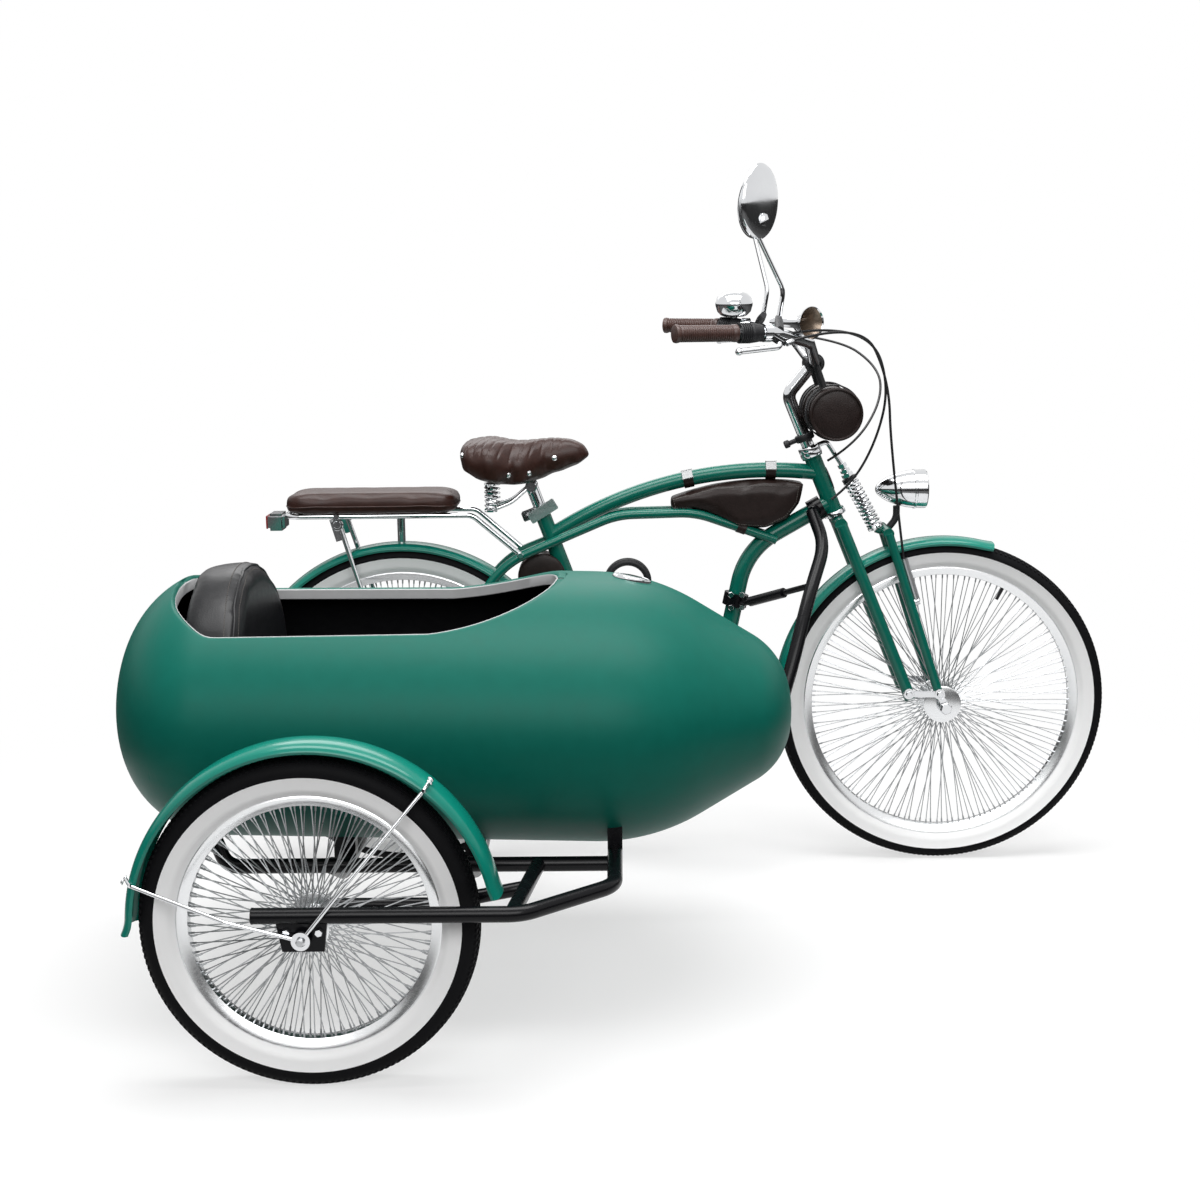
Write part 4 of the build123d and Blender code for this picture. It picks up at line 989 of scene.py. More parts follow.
points, faces = [], []
stations = [-146 + 270 * k / 36 for k in range(37)]
arc = 24
for x in stations:
    points += [saddle_point(x, pi * k / arc) for k in range(arc + 1)]
for s in range(len(stations) - 1):
    for k in range(arc + 1):
        j = (k + 1) % (arc + 1)
        a = s * (arc + 1)
        faces.append((a + k, a + j, a + arc + 1 + j, a + arc + 1 + k))
faces.append(tuple(range(arc + 1)))
faces.append(tuple(range(len(points) - 1, len(points) - arc - 2, -1)))
saddle_form = mesh_of("saddle_form", points, faces)
print("saddle form", len(saddle_form.polygons), "faces")

# %% Stuffing
def merged(name):
    """A copy of a solid's mesh with its loose triangles joined."""
    mesh = nodes[name].data.copy()
    form = bmesh.new()
    form.from_mesh(mesh)
    bmesh.ops.remove_doubles(form, verts=form.verts, dist=1e-5)
    form.to_mesh(mesh)
    form.free()
    return mesh


# mesh, size of a voxel, how much smaller it starts, how far a point may move, all in metres
SOFT = {
    "saddle": (saddle_form, 0.0045, 0.0030, 0.0060),
    "rack_pad": (merged("rack_pad"), 0.0045, 0.0030, 0.0060),
    "frame_bag": (merged("frame_bag"), 0.0045, 0.0026, 0.0052),
    "tool_bag": (merged("tool_bag"), 0.0045, 0.0026, 0.0040),
    "roll_bag": (merged("roll_bag"), 0.0050, 0.0030, 0.0034),
    "sidecar_seat": (merged("sidecar_seat"), 0.0060, 0.0050, 0.0090),
    "sidecar_seat_back": (merged("sidecar_seat_back"), 0.0055, 0.0020, 0.0090),
}
CALM = {"sidecar_seat_back": 16, "sidecar_seat": 16, "rack_pad": 12, "saddle": 10}
FIRM, GENTLE = 3, 1.5
FRAMES = 20
pads = {}
for name, (mesh, voxel, shrink, cap) in SOFT.items():
    pad = bpy.data.objects.new(name + "_pad", mesh)
    scene.collection.objects.link(pad)
    even = pad.modifiers.new("even", "REMESH")
    even.mode = "VOXEL"
    even.voxel_size = voxel
    level = pad.modifiers.new("level", "SMOOTH")
    level.factor, level.iterations = 0.5, 6
    skin = plain(pad)
    pad.modifiers.clear()
    pad.data = skin
    for vertex, normal in zip(skin.vertices, [v.vector.copy() for v in skin.vertex_normals]):
        vertex.co -= normal * shrink
    pads[name] = (pad, [v.co.copy() for v in skin.vertices], cap)
    fill = pad.modifiers.new("fill", "CLOTH")
    fill.settings.use_pressure = True
    fill.settings.uniform_pressure_force = GENTLE if "sidecar" in name else FIRM
    fill.settings.quality = 4
    fill.settings.mass = 0.3
    fill.settings.effector_weights.gravity = 0
    fill.show_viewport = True
for moment in range(1, FRAMES + 1):
    scene.frame_set(moment)
print("blown up for", FRAMES, "frames")

# %% Calmed skins
soft = {}
for name, (pad, rest, cap) in pads.items():
    swollen = plain(pad)
    pad.modifiers.clear()
    middle = sum((v.co - r for v, r in zip(swollen.vertices, rest)), Vector()) / len(rest)
    for vertex, place in zip(swollen.vertices, rest):
        move = vertex.co - place - middle
        vertex.co = place + move * min(1.0, cap / max(move.length, 1e-9))
    pad.data = swollen
    calm = pad.modifiers.new("calm", "SMOOTH")
    calm.factor, calm.iterations = 0.5, CALM.get(name, 6)
    round_off = pad.modifiers.new("round", "SUBSURF")
    round_off.levels = round_off.render_levels = 1
    soft[name] = plain(pad)
    bpy.data.objects.remove(pad)
scene.frame_set(1)
print("stuffed", {name: len(mesh.polygons) for name, mesh in soft.items()})

# %% [markdown]
# Seams, ribs and rivets come after the filling. The ribs of the saddle press into its top in shallow waves, and
# those of the roll bag run round it. Each row is a gentle push along the skin, because cut grooves would look hard.

# %% Ribs and soft pieces
def pressed(mesh, depth_at):
    """Push each point along its normal by a depth in millimetres."""
    for vertex, normal in zip(mesh.vertices, [v.vector.copy() for v in mesh.vertex_normals]):
        vertex.co += normal * depth_at(vertex.co, normal) * MM


RIB_GAP, RIB_DEEP = 17.0, 2.4
ROLL_BAG = at(873, 0, 936)


def saddle_ribs(place, normal):
    """Waves across the saddle's top, swept back towards its sides."""
    local = (place - CLAMP) / MM
    if normal.z < 0.25 or local.x > 66:
        return 0
    wave = (local.x + 0.30 * abs(local.y)) / RIB_GAP
    return -RIB_DEEP * (1 - abs(sin(pi * wave))) ** 3 * min(1, (normal.z - 0.25) * 4)


def roll_ribs(place, normal):
    """Rings round the roll bag, between its ends."""
    y = (place - ROLL_BAG).y / MM
    return 0 if abs(normal.y) > 0.6 or abs(y) > 92 else -1.6 * (1 - abs(sin(pi * y / 13))) ** 2


pressed(soft["saddle"], saddle_ribs)
pressed(soft["roll_bag"], roll_ribs)
# piece, body, finish, slot, how firmly it is filled
SOFT_FITS = (
    ("saddle", "frame", saddle_brown, "leather_brown", 0.8),
    ("rack_pad", "frame", saddle_brown, "leather_brown", 0.8),
    ("frame_bag", "frame", bag_brown, "leather_brown", 0.6),
    ("tool_bag", "frame", bag_brown, "leather_dark", 0.6),
    ("roll_bag", "steering", bag_brown, "leather_dark", 0.7),
    ("sidecar_seat", "frame", seat_black, "leather_black", 0.7),
    ("sidecar_seat_back", "frame", seat_black, "leather_black", 0.8),
)
for name, body, material, slot, fill in SOFT_FITS:
    fit(name + "_soft", soft[name], body, material, slot, name, sharp=80)
print("soft pieces", len(SOFT_FITS))

# %% [markdown]
# Stitches, piping and rivets sit on the skin of the finished cushions. A ray from outside finds the skin, so that a
# seam drawn on the plan lies on the real, swollen surface. The stitches are short capsules set out along the seam.

# %% Seams
from mathutils.bvhtree import BVHTree

stitch = turned([(-1.9, 0), (-1.7, 0.45), (-0.8, 0.7), (0.8, 0.7), (1.7, 0.45), (1.9, 0)], ORIGIN, UP, 6)


def tree_of(mesh):
    """A mesh as a skin that rays can find."""
    return BVHTree.FromPolygons([v.co for v in mesh.vertices], [p.vertices for p in mesh.polygons])


def laid(skin, points, way, proud=0.3):
    """Points moved along a way onto a skin, with the skin's normal there."""
    found = []
    for point in points:
        hit, normal, index, far = skin.ray_cast(point - way * 0.2, way)
        if hit is None:
            hit, normal, index, far = skin.find_nearest(point)
        found.append((hit + normal * proud * MM, normal))
    return found


def spaced(points, gap, ring=False):
    """Points every gap millimetres along a line of points, each with its direction."""
    line = list(points) + ([points[0]] if ring else [])
    run, out = 0.0, []
    for a, b in zip(line, line[1:]):
        length = (b - a).length / MM
        while run <= length and length > 0:
            out.append((a + (b - a) * (run / length), (b - a).normalized()))
            run += gap
        run -= length
    return out


def seam(skin, points, way, gap=5.0, ring=False):
    """Places of stitches along points laid on a skin."""
    steps = spaced(points, gap, ring)
    rest = laid(skin, [p for p, d in steps], way)
    return [(place, along, normal) for (place, normal), (p, along) in zip(rest, steps)]


print("stitch", len(stitch.polygons), "faces")

# %% Bag stitches
BAG_EDGE = [(556, 762), (640, 783), (740, 789), (808, 786), (803, 755), (782, 727), (740, 707), (692, 711), (560, 746)]
bag_skin = tree_of(soft["frame_bag"])
bag_stitches = []
for side in (-1, 1):
    outline = [at(x, side * 60, z) for x, z in BAG_EDGE]
    bag_stitches += seam(bag_skin, outline, Vector((0, -side, 0)), 5.0, ring=True)
fit("frame_bag_stitches", set_out(stitch, bag_stitches, thread_pale), "frame", thread_pale, "leather_dark")
print("bag stitches", len(bag_stitches))

# %% Seat back
LEAN_BACK = radians(6)
BACK_UP = Vector((-sin(LEAN_BACK), 0, cos(LEAN_BACK)))
BACK_OUT = Vector((cos(LEAN_BACK), 0, sin(LEAN_BACK)))
BACK_FOOT = BODY + Vector((-160, 0, 0)) * MM


def back_outline(inset):
    """The seat back's domed edge, from the far side over the top to the near side."""
    half, top, corner = 212 - inset, 249 - inset, 110
    radius = (half * half + corner * corner) / (2 * corner)
    sweep = asin(half / radius)
    line = [(half, v) for v in range(-40, int(top - corner), 12)]
    dome = [sweep - 2 * sweep * k / 40 for k in range(41)]
    line += [(radius * sin(a), top - radius + radius * cos(a)) for a in dome]
    line += [(-half, v) for v in range(int(top - corner), -41, -12)]
    return [BACK_FOOT + (ACROSS * u + BACK_UP * v) * MM for u, v in line]


back_skin = tree_of(soft["sidecar_seat_back"])
front_edge = [p for p, n in laid(back_skin, back_outline(9), -BACK_OUT, 0.4)]
piping = wire(front_edge, 2.6)
back_stitches = seam(back_skin, back_outline(17), -BACK_OUT, 6.0)
side_line = [BACK_FOOT + (p - BACK_FOOT) * 1.12 - BACK_OUT * 14 * MM for p in back_outline(0)]
for point, along in spaced(side_line, 6.0):
    to_middle = BODY + BACK_UP * 60 * MM - Vector((0.175, 0, 0)) - point
    to_middle.x = 0
    hit, normal, index, far = back_skin.ray_cast(point, to_middle.normalized())
    if hit is not None and far < 0.08:
        back_stitches.append((hit + normal * 0.3 * MM, along, normal))
fit("seat_back_piping", piping, "frame", seat_black, "leather_black")
fit("seat_back_stitches", set_out(stitch, back_stitches, thread_pale), "frame", thread_pale, "leather_black")
print("seat back stitches", len(back_stitches))

# %% Saddle rivets and rack piping
saddle_skin = tree_of(soft["saddle"])
rivets = []
for x, up in ((-139, 30), (-36, 12), (4, 12), (50, 24)):
    for side in (-1, 1):
        guess = saddle_point(x, 0.02 if side > 0 else pi - 0.02, 6)
        guess.z += up * MM
        hit, normal, index, far = saddle_skin.find_nearest(guess)
        rivets.append((hit, normal, UP))
fit("saddle_rivets", set_out(round_head, rivets, alloy, 0.0058 / MM), "frame", alloy, "chrome")

PAD_EDGE = ((120, 40), (120, -40), (104, -66), (84, -72), (-192, -72), (-216, -66),
            (-232, -40), (-232, 40), (-216, 66), (-192, 72), (84, 72), (104, 66))
pad_edge = [at(x, y, 758) for x, y in PAD_EDGE]
pad_skin = tree_of(soft["rack_pad"])
pad_line = [pad_skin.find_nearest(p)[0] for p, d in spaced(pad_edge, 12, ring=True)]
fit("rack_pad_piping", wire(pad_line, 1.6, ring=True), "frame", saddle_brown, "leather_brown")
print("saddle rivets", len(rivets))

# %% [markdown]
# Springs are wire wound round a rod. A Geometry Nodes tree draws the spiral and gives it the wire's thickness, so
# that turns, width and height stay plain numbers. The solids carry stacked discs there, which these coils replace.

# %% Coil tree
coil_tree = bpy.data.node_groups.new("coil", "GeometryNodeTree")
sockets = {}
for label, kind in (("Turns", "Float"), ("Radius", "Float"), ("Height", "Float"), ("Wire", "Float"),
                    ("Finish", "Material")):
    socket = coil_tree.interface.new_socket(label, in_out="INPUT", socket_type="NodeSocket" + kind)
    sockets[label] = socket.identifier
coil_tree.interface.new_socket("Coil", in_out="OUTPUT", socket_type="NodeSocketGeometry")
start, end = coil_tree.nodes.new("NodeGroupInput"), coil_tree.nodes.new("NodeGroupOutput")
spiral = coil_tree.nodes.new("GeometryNodeCurveSpiral")
spiral.inputs["Resolution"].default_value = 20
section = coil_tree.nodes.new("GeometryNodeCurvePrimitiveCircle")
section.inputs["Resolution"].default_value = 8
thick = coil_tree.nodes.new("GeometryNodeCurveToMesh")
thick.inputs["Fill Caps"].default_value = True
real = coil_tree.nodes.new("GeometryNodeRealizeInstances")
painted = coil_tree.nodes.new("GeometryNodeSetMaterial")
for source, target in (
    (start.outputs["Turns"], spiral.inputs["Rotations"]), (start.outputs["Radius"], spiral.inputs["Start Radius"]),
    (start.outputs["Radius"], spiral.inputs["End Radius"]), (start.outputs["Height"], spiral.inputs["Height"]),
    (start.outputs["Wire"], section.inputs["Radius"]), (spiral.outputs["Curve"], thick.inputs["Curve"]),
    (section.outputs["Curve"], thick.inputs["Profile Curve"]), (thick.outputs["Mesh"], real.inputs["Geometry"]),
    (real.outputs["Geometry"], painted.inputs["Geometry"]), (start.outputs["Finish"], painted.inputs["Material"]),
    (painted.outputs["Geometry"], end.inputs["Coil"]),
):
    coil_tree.links.new(source, target)


def coil(foot, way, turns, radius, height, thickness, material):
    """A wound wire from a foot point along a way, in millimetres."""
    holder = bpy.data.objects.new("coil", bpy.data.meshes.new("coil"))
    scene.collection.objects.link(holder)
    modifier = holder.modifiers.new("coil", "NODES")
    modifier.node_group = coil_tree
    values = {"Turns": turns, "Radius": radius * MM, "Height": height * MM, "Wire": thickness * MM, "Finish": material}
    for label, value in values.items():
        modifier[sockets[label]] = value
    mesh = plain(holder)
    holder.modifiers.remove(modifier)
    bpy.data.objects.remove(holder)
    mesh.transform(Matrix.Translation(foot) @ way.to_track_quat("Z", "Y").to_matrix().to_4x4())
    return mesh

print("coil sockets", list(sockets))

# %% [markdown]
# The metal fittings round the springs are small blocks with softened edges and rods with bent corners. Both could be
# modelled by hand, but two makers give every one of them from a few numbers.

# %% Blocks and bent rods
def slab(middle, along, up, size, bevel=1.5):
    """A block with softened edges, its length along one way and its height along another."""
    along = Vector(along).normalized()
    side = Vector(up).cross(along).normalized()
    up = along.cross(side)
    form = bmesh.new()
    bmesh.ops.create_cube(form, size=1)
    for vertex in form.verts:
        x, y, z = vertex.co
        vertex.co = middle + (along * x * size[0] + side * y * size[1] + up * z * size[2]) * MM
    bmesh.ops.bevel(form, geom=form.edges[:], offset=bevel * MM, segments=2, affect="EDGES")
    mesh = bpy.data.meshes.new("slab")
    form.to_mesh(mesh)
    form.free()
    return mesh


def bent(points, bend):
    """The points of a rod whose corners are rounded, for rigid rods only."""
    line = [points[0]]
    for a, b, c in zip(points, points[1:], points[2:]):
        cut = min(bend * MM, (b - a).length * 0.45, (c - b).length * 0.45)
        p, q = b + (a - b).normalized() * cut, b + (c - b).normalized() * cut
        line += bow(p, b, q, 6)
    return line + [points[-1]]


print("block and rod makers ready")

# %% Fork spring
FOOT, TOP = at(969, 0, 697), at(913, 0, 799)
SPRING = (TOP - FOOT).normalized()
rod = turned([(-6, 0), (-6, 6), (150, 6), (150.4, 5), (150.4, 0)], FOOT, SPRING, 24)
winding = coil(FOOT + SPRING * 8 * MM, SPRING, 11.5, 12.8, 104, 3.1, chrome)
NUTS = ((121, 128, 12.5), (131, 137, 10.5), (142, 150, 9.5))
nuts = [turned([(a, 6), (a, r), (b, r), (b, 6)], FOOT, SPRING, 6) for a, b, r in NUTS]
seat_cup = turned([(0, 6), (0, 16), (5, 16.4), (8, 14), (8, 6)], FOOT, SPRING, 32)
RING = [(140, 13.2), (140, 21), (141.5, 22), (149.5, 22), (151, 21), (151, 13.2)]
ring = turned(RING, STEER_FOOT, STEER_UP, 40)
strap = wire(bent([on_steer(145.5, 19), on_steer(145.5, 38), TOP + SPRING * 26 * MM], 12), 5.2, smooth=False)
cushion = turned([(112, 6), (112, 15), (118, 15.6), (119, 6)], FOOT, SPRING, 32)
spring_parts = joined("fork_coil", rod, winding, *nuts, seat_cup, ring, strap, (cushion, 1))
fit("fork_coil", spring_parts, "steering", [chrome, matt_black], "chrome", "fork_spring")
print("fork spring", len(winding.polygons), "faces in its coil")

# %% Saddle carrier
post = turned([(-62, 0), (-62, 12.6), (62, 12.6), (62, 0)], on_seat(0), SEAT_DIR, 32)
collar = turned([(0, 13), (0, 19), (1.5, 20), (18.5, 20), (20, 19), (20, 13)], on_seat(0), SEAT_DIR, 32)
HOLD = [(-26, 0), (-26, 10), (-24, 12), (-9, 12), (-8, 9.5), (8, 9.5), (9, 12), (24, 12), (26, 10), (26, 0)]
hold = turned(HOLD, CLAMP, ACROSS, 32)
ahead_of_seat = SEAT_DIR.cross(ACROSS).normalized()
if ahead_of_seat.x < 0:
    ahead_of_seat = -ahead_of_seat
behind_seat = on_seat(10) - ahead_of_seat * 27 * MM
ears = [slab(behind_seat + ACROSS * y * MM, ahead_of_seat, SEAT_DIR, (26, 5, 20)) for y in (-7, 7)]
clamp_plate = slab(on_seat(9) - ACROSS * 20 * MM + ahead_of_seat * 4 * MM, ahead_of_seat + SEAT_DIR * 0.2, SEAT_DIR,
                   (62, 4, 24))
lever_line = [on_seat(10) - ahead_of_seat * 30 * MM + ACROSS * y * MM for y in (-30, 24)]
lever_line.append(on_seat(14) + ahead_of_seat * 22 * MM + ACROSS * 30 * MM)
lever = wire(bent(lever_line, 8), 4, smooth=False)
pieces = [post, collar, hold, *ears, lever]
for side in (-1, 1):
    foot = CLAMP + Vector((-80, side * 48, -46)) * MM
    pieces.append(coil(foot + UP * 4 * MM, UP, 5.5, 10.4, 50, 2.6, chrome))
    arm = [CLAMP + Vector((-4, side * 20, 0)) * MM, CLAMP + Vector((-40, side * 34, -30)) * MM, foot + UP * 2 * MM]
    pieces.append(wire(bent(arm, 12), 4, smooth=False))
    pieces.append(turned([(0, 0), (0, 12.5), (3, 13), (4, 11), (4, 0)], foot, UP, 24))
    pieces.append(turned([(53, 0), (53, 11), (56, 13), (58, 12), (58, 0)], foot, UP, 24))
carrier = joined("saddle_carrier", *pieces, (clamp_plate, 1))
fit("saddle_carrier", carrier, "frame", [chrome, alloy], "chrome", "seat_post")
print("saddle carrier", len(pieces) + 1, "parts")

# %% [markdown]
# Lamp, bell, horn and mirrors are spun or pressed metal, so their profiles are turned about an axis. The horn is
# hollow, the lamp has a ring and a domed glass, and each mirror is a domed back with its glass toward the rider.

# %% Lamp, bell and horn
LAMP = at(1020, 0, 776)
AHEAD = Vector((1, 0, 0))
bullet = [(-54, 0), (-53, 5), (-50, 10), (-42, 17), (-30, 24.5), (-12, 31.5), (8, 36.6), (22, 38.4), (23, 39.6),
          (27, 39.6), (28, 38.4), (40, 39), (44, 39), (47, 38.6), (49, 36.5)]
glass = [(48.6, 36.6), (50.5, 30), (52.2, 20), (52.9, 10), (53, 0)]
lamp_bracket = wire(bent([at(1010, 0, 742), at(1010, 0, 716), at(992, 0, 694)], 15), 7, smooth=False)
lamp_parts = (turned(bullet, LAMP, AHEAD, 64), 0), (turned(glass, LAMP, AHEAD, 64), 1), (lamp_bracket, 2)
fit("bullet_lamp", joined("bullet_lamp", *lamp_parts), "steering", [chrome, lamp_glass, matt_black], "chrome",
    "headlamp")

BELL = on_bar(144, 1) + Vector((7, -2.5, 46.5)) * MM
dome = [(-27, 0), (-27, 20), (-24, 28), (-16, 36), (-4, 39.6), (-2, 40), (2, 40), (4, 39), (14, 36.4), (22, 28),
        (26, 15), (27, 6), (27, 0)]
stalk = turned([(-30, 0), (-30, 7), (-24, 8), (-24, 0)], BELL, UP, 24)
fit("round_bell", joined("round_bell", turned(dome, BELL, UP, 64), stalk), "steering", chrome, "chrome", "bell")

MOUTH = at(812, -206, 1116)
HORN = Vector((0.6, -0.8, 0))
trumpet = [(-111, 0), (-111, 6), (-109, 9), (-100, 9.6), (-96, 8), (-52, 10), (-34, 13), (-20, 17.5), (-10, 23),
           (-3, 29.5), (0, 31), (0.4, 30.2), (-2, 28.4)]
throat = [(-2, 28.4), (-3, 27.5), (-10, 21), (-20, 15.5), (-34, 11), (-46, 8.5), (-50, 0)]
bracket = wire([MOUTH - HORN * 52 * MM, at(796, -182, 1094)], 6, smooth=False)
horn_parts = (turned(trumpet, MOUTH, HORN, 64), 0), (turned(throat, MOUTH, HORN, 64), 1), (bracket, 0)
fit("horn_trumpet", joined("horn_trumpet", *horn_parts), "steering", [chrome, horn_bronze], "chrome", "horn")
print("lamp, bell and horn turned")

# %% [markdown]
# Each mirror is an oval shell on a bent stem, with a pane that faces the rider. A turned profile is round, so its
# points are moved to the oval's width and height. The pane's faces are checked, because a turned disc may come out
# facing the wrong way.

# %% Mirrors
MIRROR_WIDE, MIRROR_TALL = 54, 70
BACK = [(-7, 0), (-6.8, 0.3), (-5.6, 0.62), (-3, 0.86), (0, 0.97), (3, 1.0), (5.5, 0.995), (6.6, 0.965), (6.4, 0.93)]
PANE = [(6.3, 0.935), (6.1, 0.5), (6.1, 0)]
parts = []
for side, head in ((-1, at(715, -215, 1340)), (1, at(742, 215, 1352))):
    out = Vector((-0.75, -side * 0.66, 0)).normalized()
    tilt = Vector((0.66, -side * 0.75, 0)).normalized()
    turn_in = Matrix.Rotation(radians(-8 * side), 3, out)
    wide, tall = turn_in @ tilt, turn_in @ out.cross(tilt)
    for profile, number in ((BACK, 0), (PANE, 1)):
        disc = turned(profile, ORIGIN, UP, 72)
        for vertex in disc.vertices:
            x, y, z = vertex.co / MM
            vertex.co = head + (wide * x * MIRROR_WIDE + tall * y * MIRROR_TALL + out * z) * MM
        form = bmesh.new()
        form.from_mesh(disc)
        bmesh.ops.recalc_face_normals(form, faces=form.faces)
        if number == 1 and sum((f.normal.dot(out) for f in form.faces)) < 0:
            bmesh.ops.reverse_faces(form, faces=form.faces)
        form.to_mesh(disc)
        form.free()
        parts.append((disc, number))
    foot = at(752, side * 180, 1124)
    stem_line = [foot, at(761, side * 180, 1177), head + Vector((-7, 0, -60)) * MM, head + Vector((-2, 0, -30)) * MM]
    parts.append((wire(bent(stem_line, 14), 4.5, smooth=False), 0))
    low = on_bar(205, side) + Vector((0, 0, 4)) * MM
    rise = (foot - low).length / MM
    socket_line = [(0, 0), (0, 8), (0.6 * rise, 8.6), (rise + 6, 6.5), (rise + 6, 0)]
    parts.append((turned(socket_line, low, foot - low, 24), 2))
    cup = head + Vector((-4, 0, -45)) * MM - out * 7 * MM
    parts.append((turned([(0, 0), (0, 9), (14, 11), (22, 7), (24, 0)], cup, Vector((2, 0, 15)), 24), 0))
fit("oval_mirrors", joined("oval_mirrors", *parts), "steering", [chrome, mirror_glass, matt_black], "chrome", "mirrors")
print("mirrors", len(parts), "parts")

# %% [markdown]
# The grips are ribbed brown leather over foam with a flange at each end, then a black ribbed ring and a switch
# body. The brake levers end in balls. Ribs on the grip are part of the turned profile, as they run round it.

# %% Grips and levers
GRIP_RIBS, RIB_STEP = 24, 4.2
RING_RIBS, RING_STEP = 6, 4
parts = []
for side in (-1, 1):
    way = on_bar(118, side) - on_bar(-8, side)
    hand = [(0, 0), (0, 13), (1, 16.4), (5, 17), (9, 16.2), (11, 14)]
    for k in range(GRIP_RIBS):
        hand += [(12 + RIB_STEP * k, 14.2), (13.4 + RIB_STEP * k, 15.4), (15 + RIB_STEP * k, 15.4)]
    hand += [(114, 14.4), (116, 16), (122, 16.6), (125, 16), (126, 11.6)]
    parts.append((turned(hand, on_bar(-8, side), way, 32), 0))
    ring = [(129, 11.6), (129, 18.6)]
    for k in range(RING_RIBS):
        begin = RING_STEP * k
        ring += [(130 + begin, 19), (131.4 + begin, 19), (132 + begin, 17.4), (133.4 + begin, 17.4)]
    ring += [(155, 18.4), (166, 17), (176, 15), (176, 11.6)]
    parts.append((turned(ring, on_bar(-8, side), way, 32), 1))
fit("leather_grips", joined("leather_grips", *parts), "steering", [grip_brown, matt_black], "rubber", "grips")
print("grips", len(parts), "parts")

# %% Levers
BALL = [(-7, 0), (-6.2, 3.4), (-3.4, 6.2), (0, 7), (3.4, 6.2), (6.2, 3.4), (7, 0)]
ADJUSTER = [(0, 0), (0, 5.5), (14, 5), (16, 3.4), (16, 0)]
lever_parts = []
for side in (-1, 1):
    hinge = on_bar(178, side)
    tip = hinge + Vector((-54, side * 49, -32)) * MM
    lever_parts.append(turned(BALL, tip, ACROSS, 24))
    inner = hinge + Vector((16, side * 5, -10)) * MM
    lever_parts.append(slab(inner, Vector((40, side * 10, -24)), UP, (44, 17, 15), 4))
    outlet = hinge + Vector((36, side * 9, -20)) * MM
    lever_parts.append(turned(ADJUSTER, outlet, Vector((0.8, -side * 0.35, 0.3)), 16))
fit("lever_bodies", joined("lever_bodies", *lever_parts), "steering", chrome, "chrome")
print("levers", len(lever_parts), "parts")

# %% [markdown]
# The cables are black housings of fixed length. Each runs out of its lever in one smooth loop and ends at a brake
# or at the frame. They are soft curves through the same points as the solids.

# %% Cables
CABLE_WIDE = 5
left_start = on_bar(178, 1) + Vector((18, 4.5, -10.8)) * MM
right_start = on_bar(178, -1) + Vector((32, -8, -19)) * MM
switch_start = on_bar(150, -1) + Vector((14, 0, -14)) * MM
FRONT_ROUTE = ((905, -190, 1122), (972, -120, 1005), (984, -80, 863), (1020, -46, 634))
REAR_ROUTE = ((905, 200, 1078), (985, 100, 1018), (985, 60, 950), (925, 0, 868), (866, -27, 838))
SWITCH_ROUTE = ((800, -200, 1108), (935, -160, 1090), (980, -70, 985), (962, -40, 880), (915, -30, 790),
                (874, -29, 760))
CABLES = (
    ("front_brake_cable", right_start, FRONT_ROUTE, ["brake_cables"]),
    ("rear_brake_cable", left_start, REAR_ROUTE, []),
    ("switch_cable", switch_start, SWITCH_ROUTE, []),
)
for name, first, way_points, stands_for in CABLES:
    route = [first] + [at(*p) for p in way_points]
    cable = line_of(name, route, resolution=16)
    track = [v.co.copy() for v in plain(cable).vertices]
    data = cable.data
    data.bevel_depth = CABLE_WIDE / 2 * MM
    data.bevel_resolution = 3
    data.use_fill_caps = True
    data.materials.append(cable_black)
    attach(cable, "steering")
    if stands_for:
        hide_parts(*stands_for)

# %% [markdown]
# Chain links, chainring teeth and pedal treads are small and many, so they are set out along their rings. The ring
# itself is a plate with teeth and an open middle, made by bridging two outlines instead of by a boolean.

# %% Chain
def ring_point(middle, radius, angle, y):
    return middle + Vector((radius * cos(angle), y, radius * sin(angle))) * MM


CHAIN_Y = -47
RING_RUN, COG_RUN = 96, 48
LINK = 12.7
span = (REAR_AXLE - CRANK).length / MM
tilt = asin((92 - 44) / span)
back_way = (REAR_AXLE - CRANK).normalized()
base_angle = pi - asin(back_way.z)
loop = []
for k in range(49):
    a = base_angle + pi / 2 - tilt - (2 * pi - (pi - 2 * tilt)) * k / 48
    loop.append(ring_point(CRANK, RING_RUN, a, CHAIN_Y))
for k in range(25):
    a = base_angle - pi / 2 + tilt + (pi - 2 * tilt) * k / 24
    loop.append(ring_point(REAR_AXLE, COG_RUN, a, CHAIN_Y))
WAIST = ((-3.6, -5), (-2.6, 0), (-3.6, 5), (0, 6.6), (3.6, 5), (2.6, 0), (3.6, -5), (0, -6.6))
plate = mesh_of("plate", [(x * MM, y * MM, z * MM) for y in (-0.9, 0.9) for x, z in WAIST],
                [(0, 1, 2, 3, 4, 5, 6, 7), (15, 14, 13, 12, 11, 10, 9, 8)]
                + [(k, k + 8, (k + 1) % 8 + 8, (k + 1) % 8) for k in range(8)])
places = []
for number, (point, along) in enumerate(spaced(loop, LINK, ring=True)):
    for y in (-2.7, 2.7) if number % 2 else (-1.5, 1.5):
        places.append((point + ACROSS * y * MM, along, along.cross(ACROSS)))
links = set_out(plate, places, steel)
fit("chain_links", links, "frame", steel, "steel", "chain")
print("chain plates", len(places))

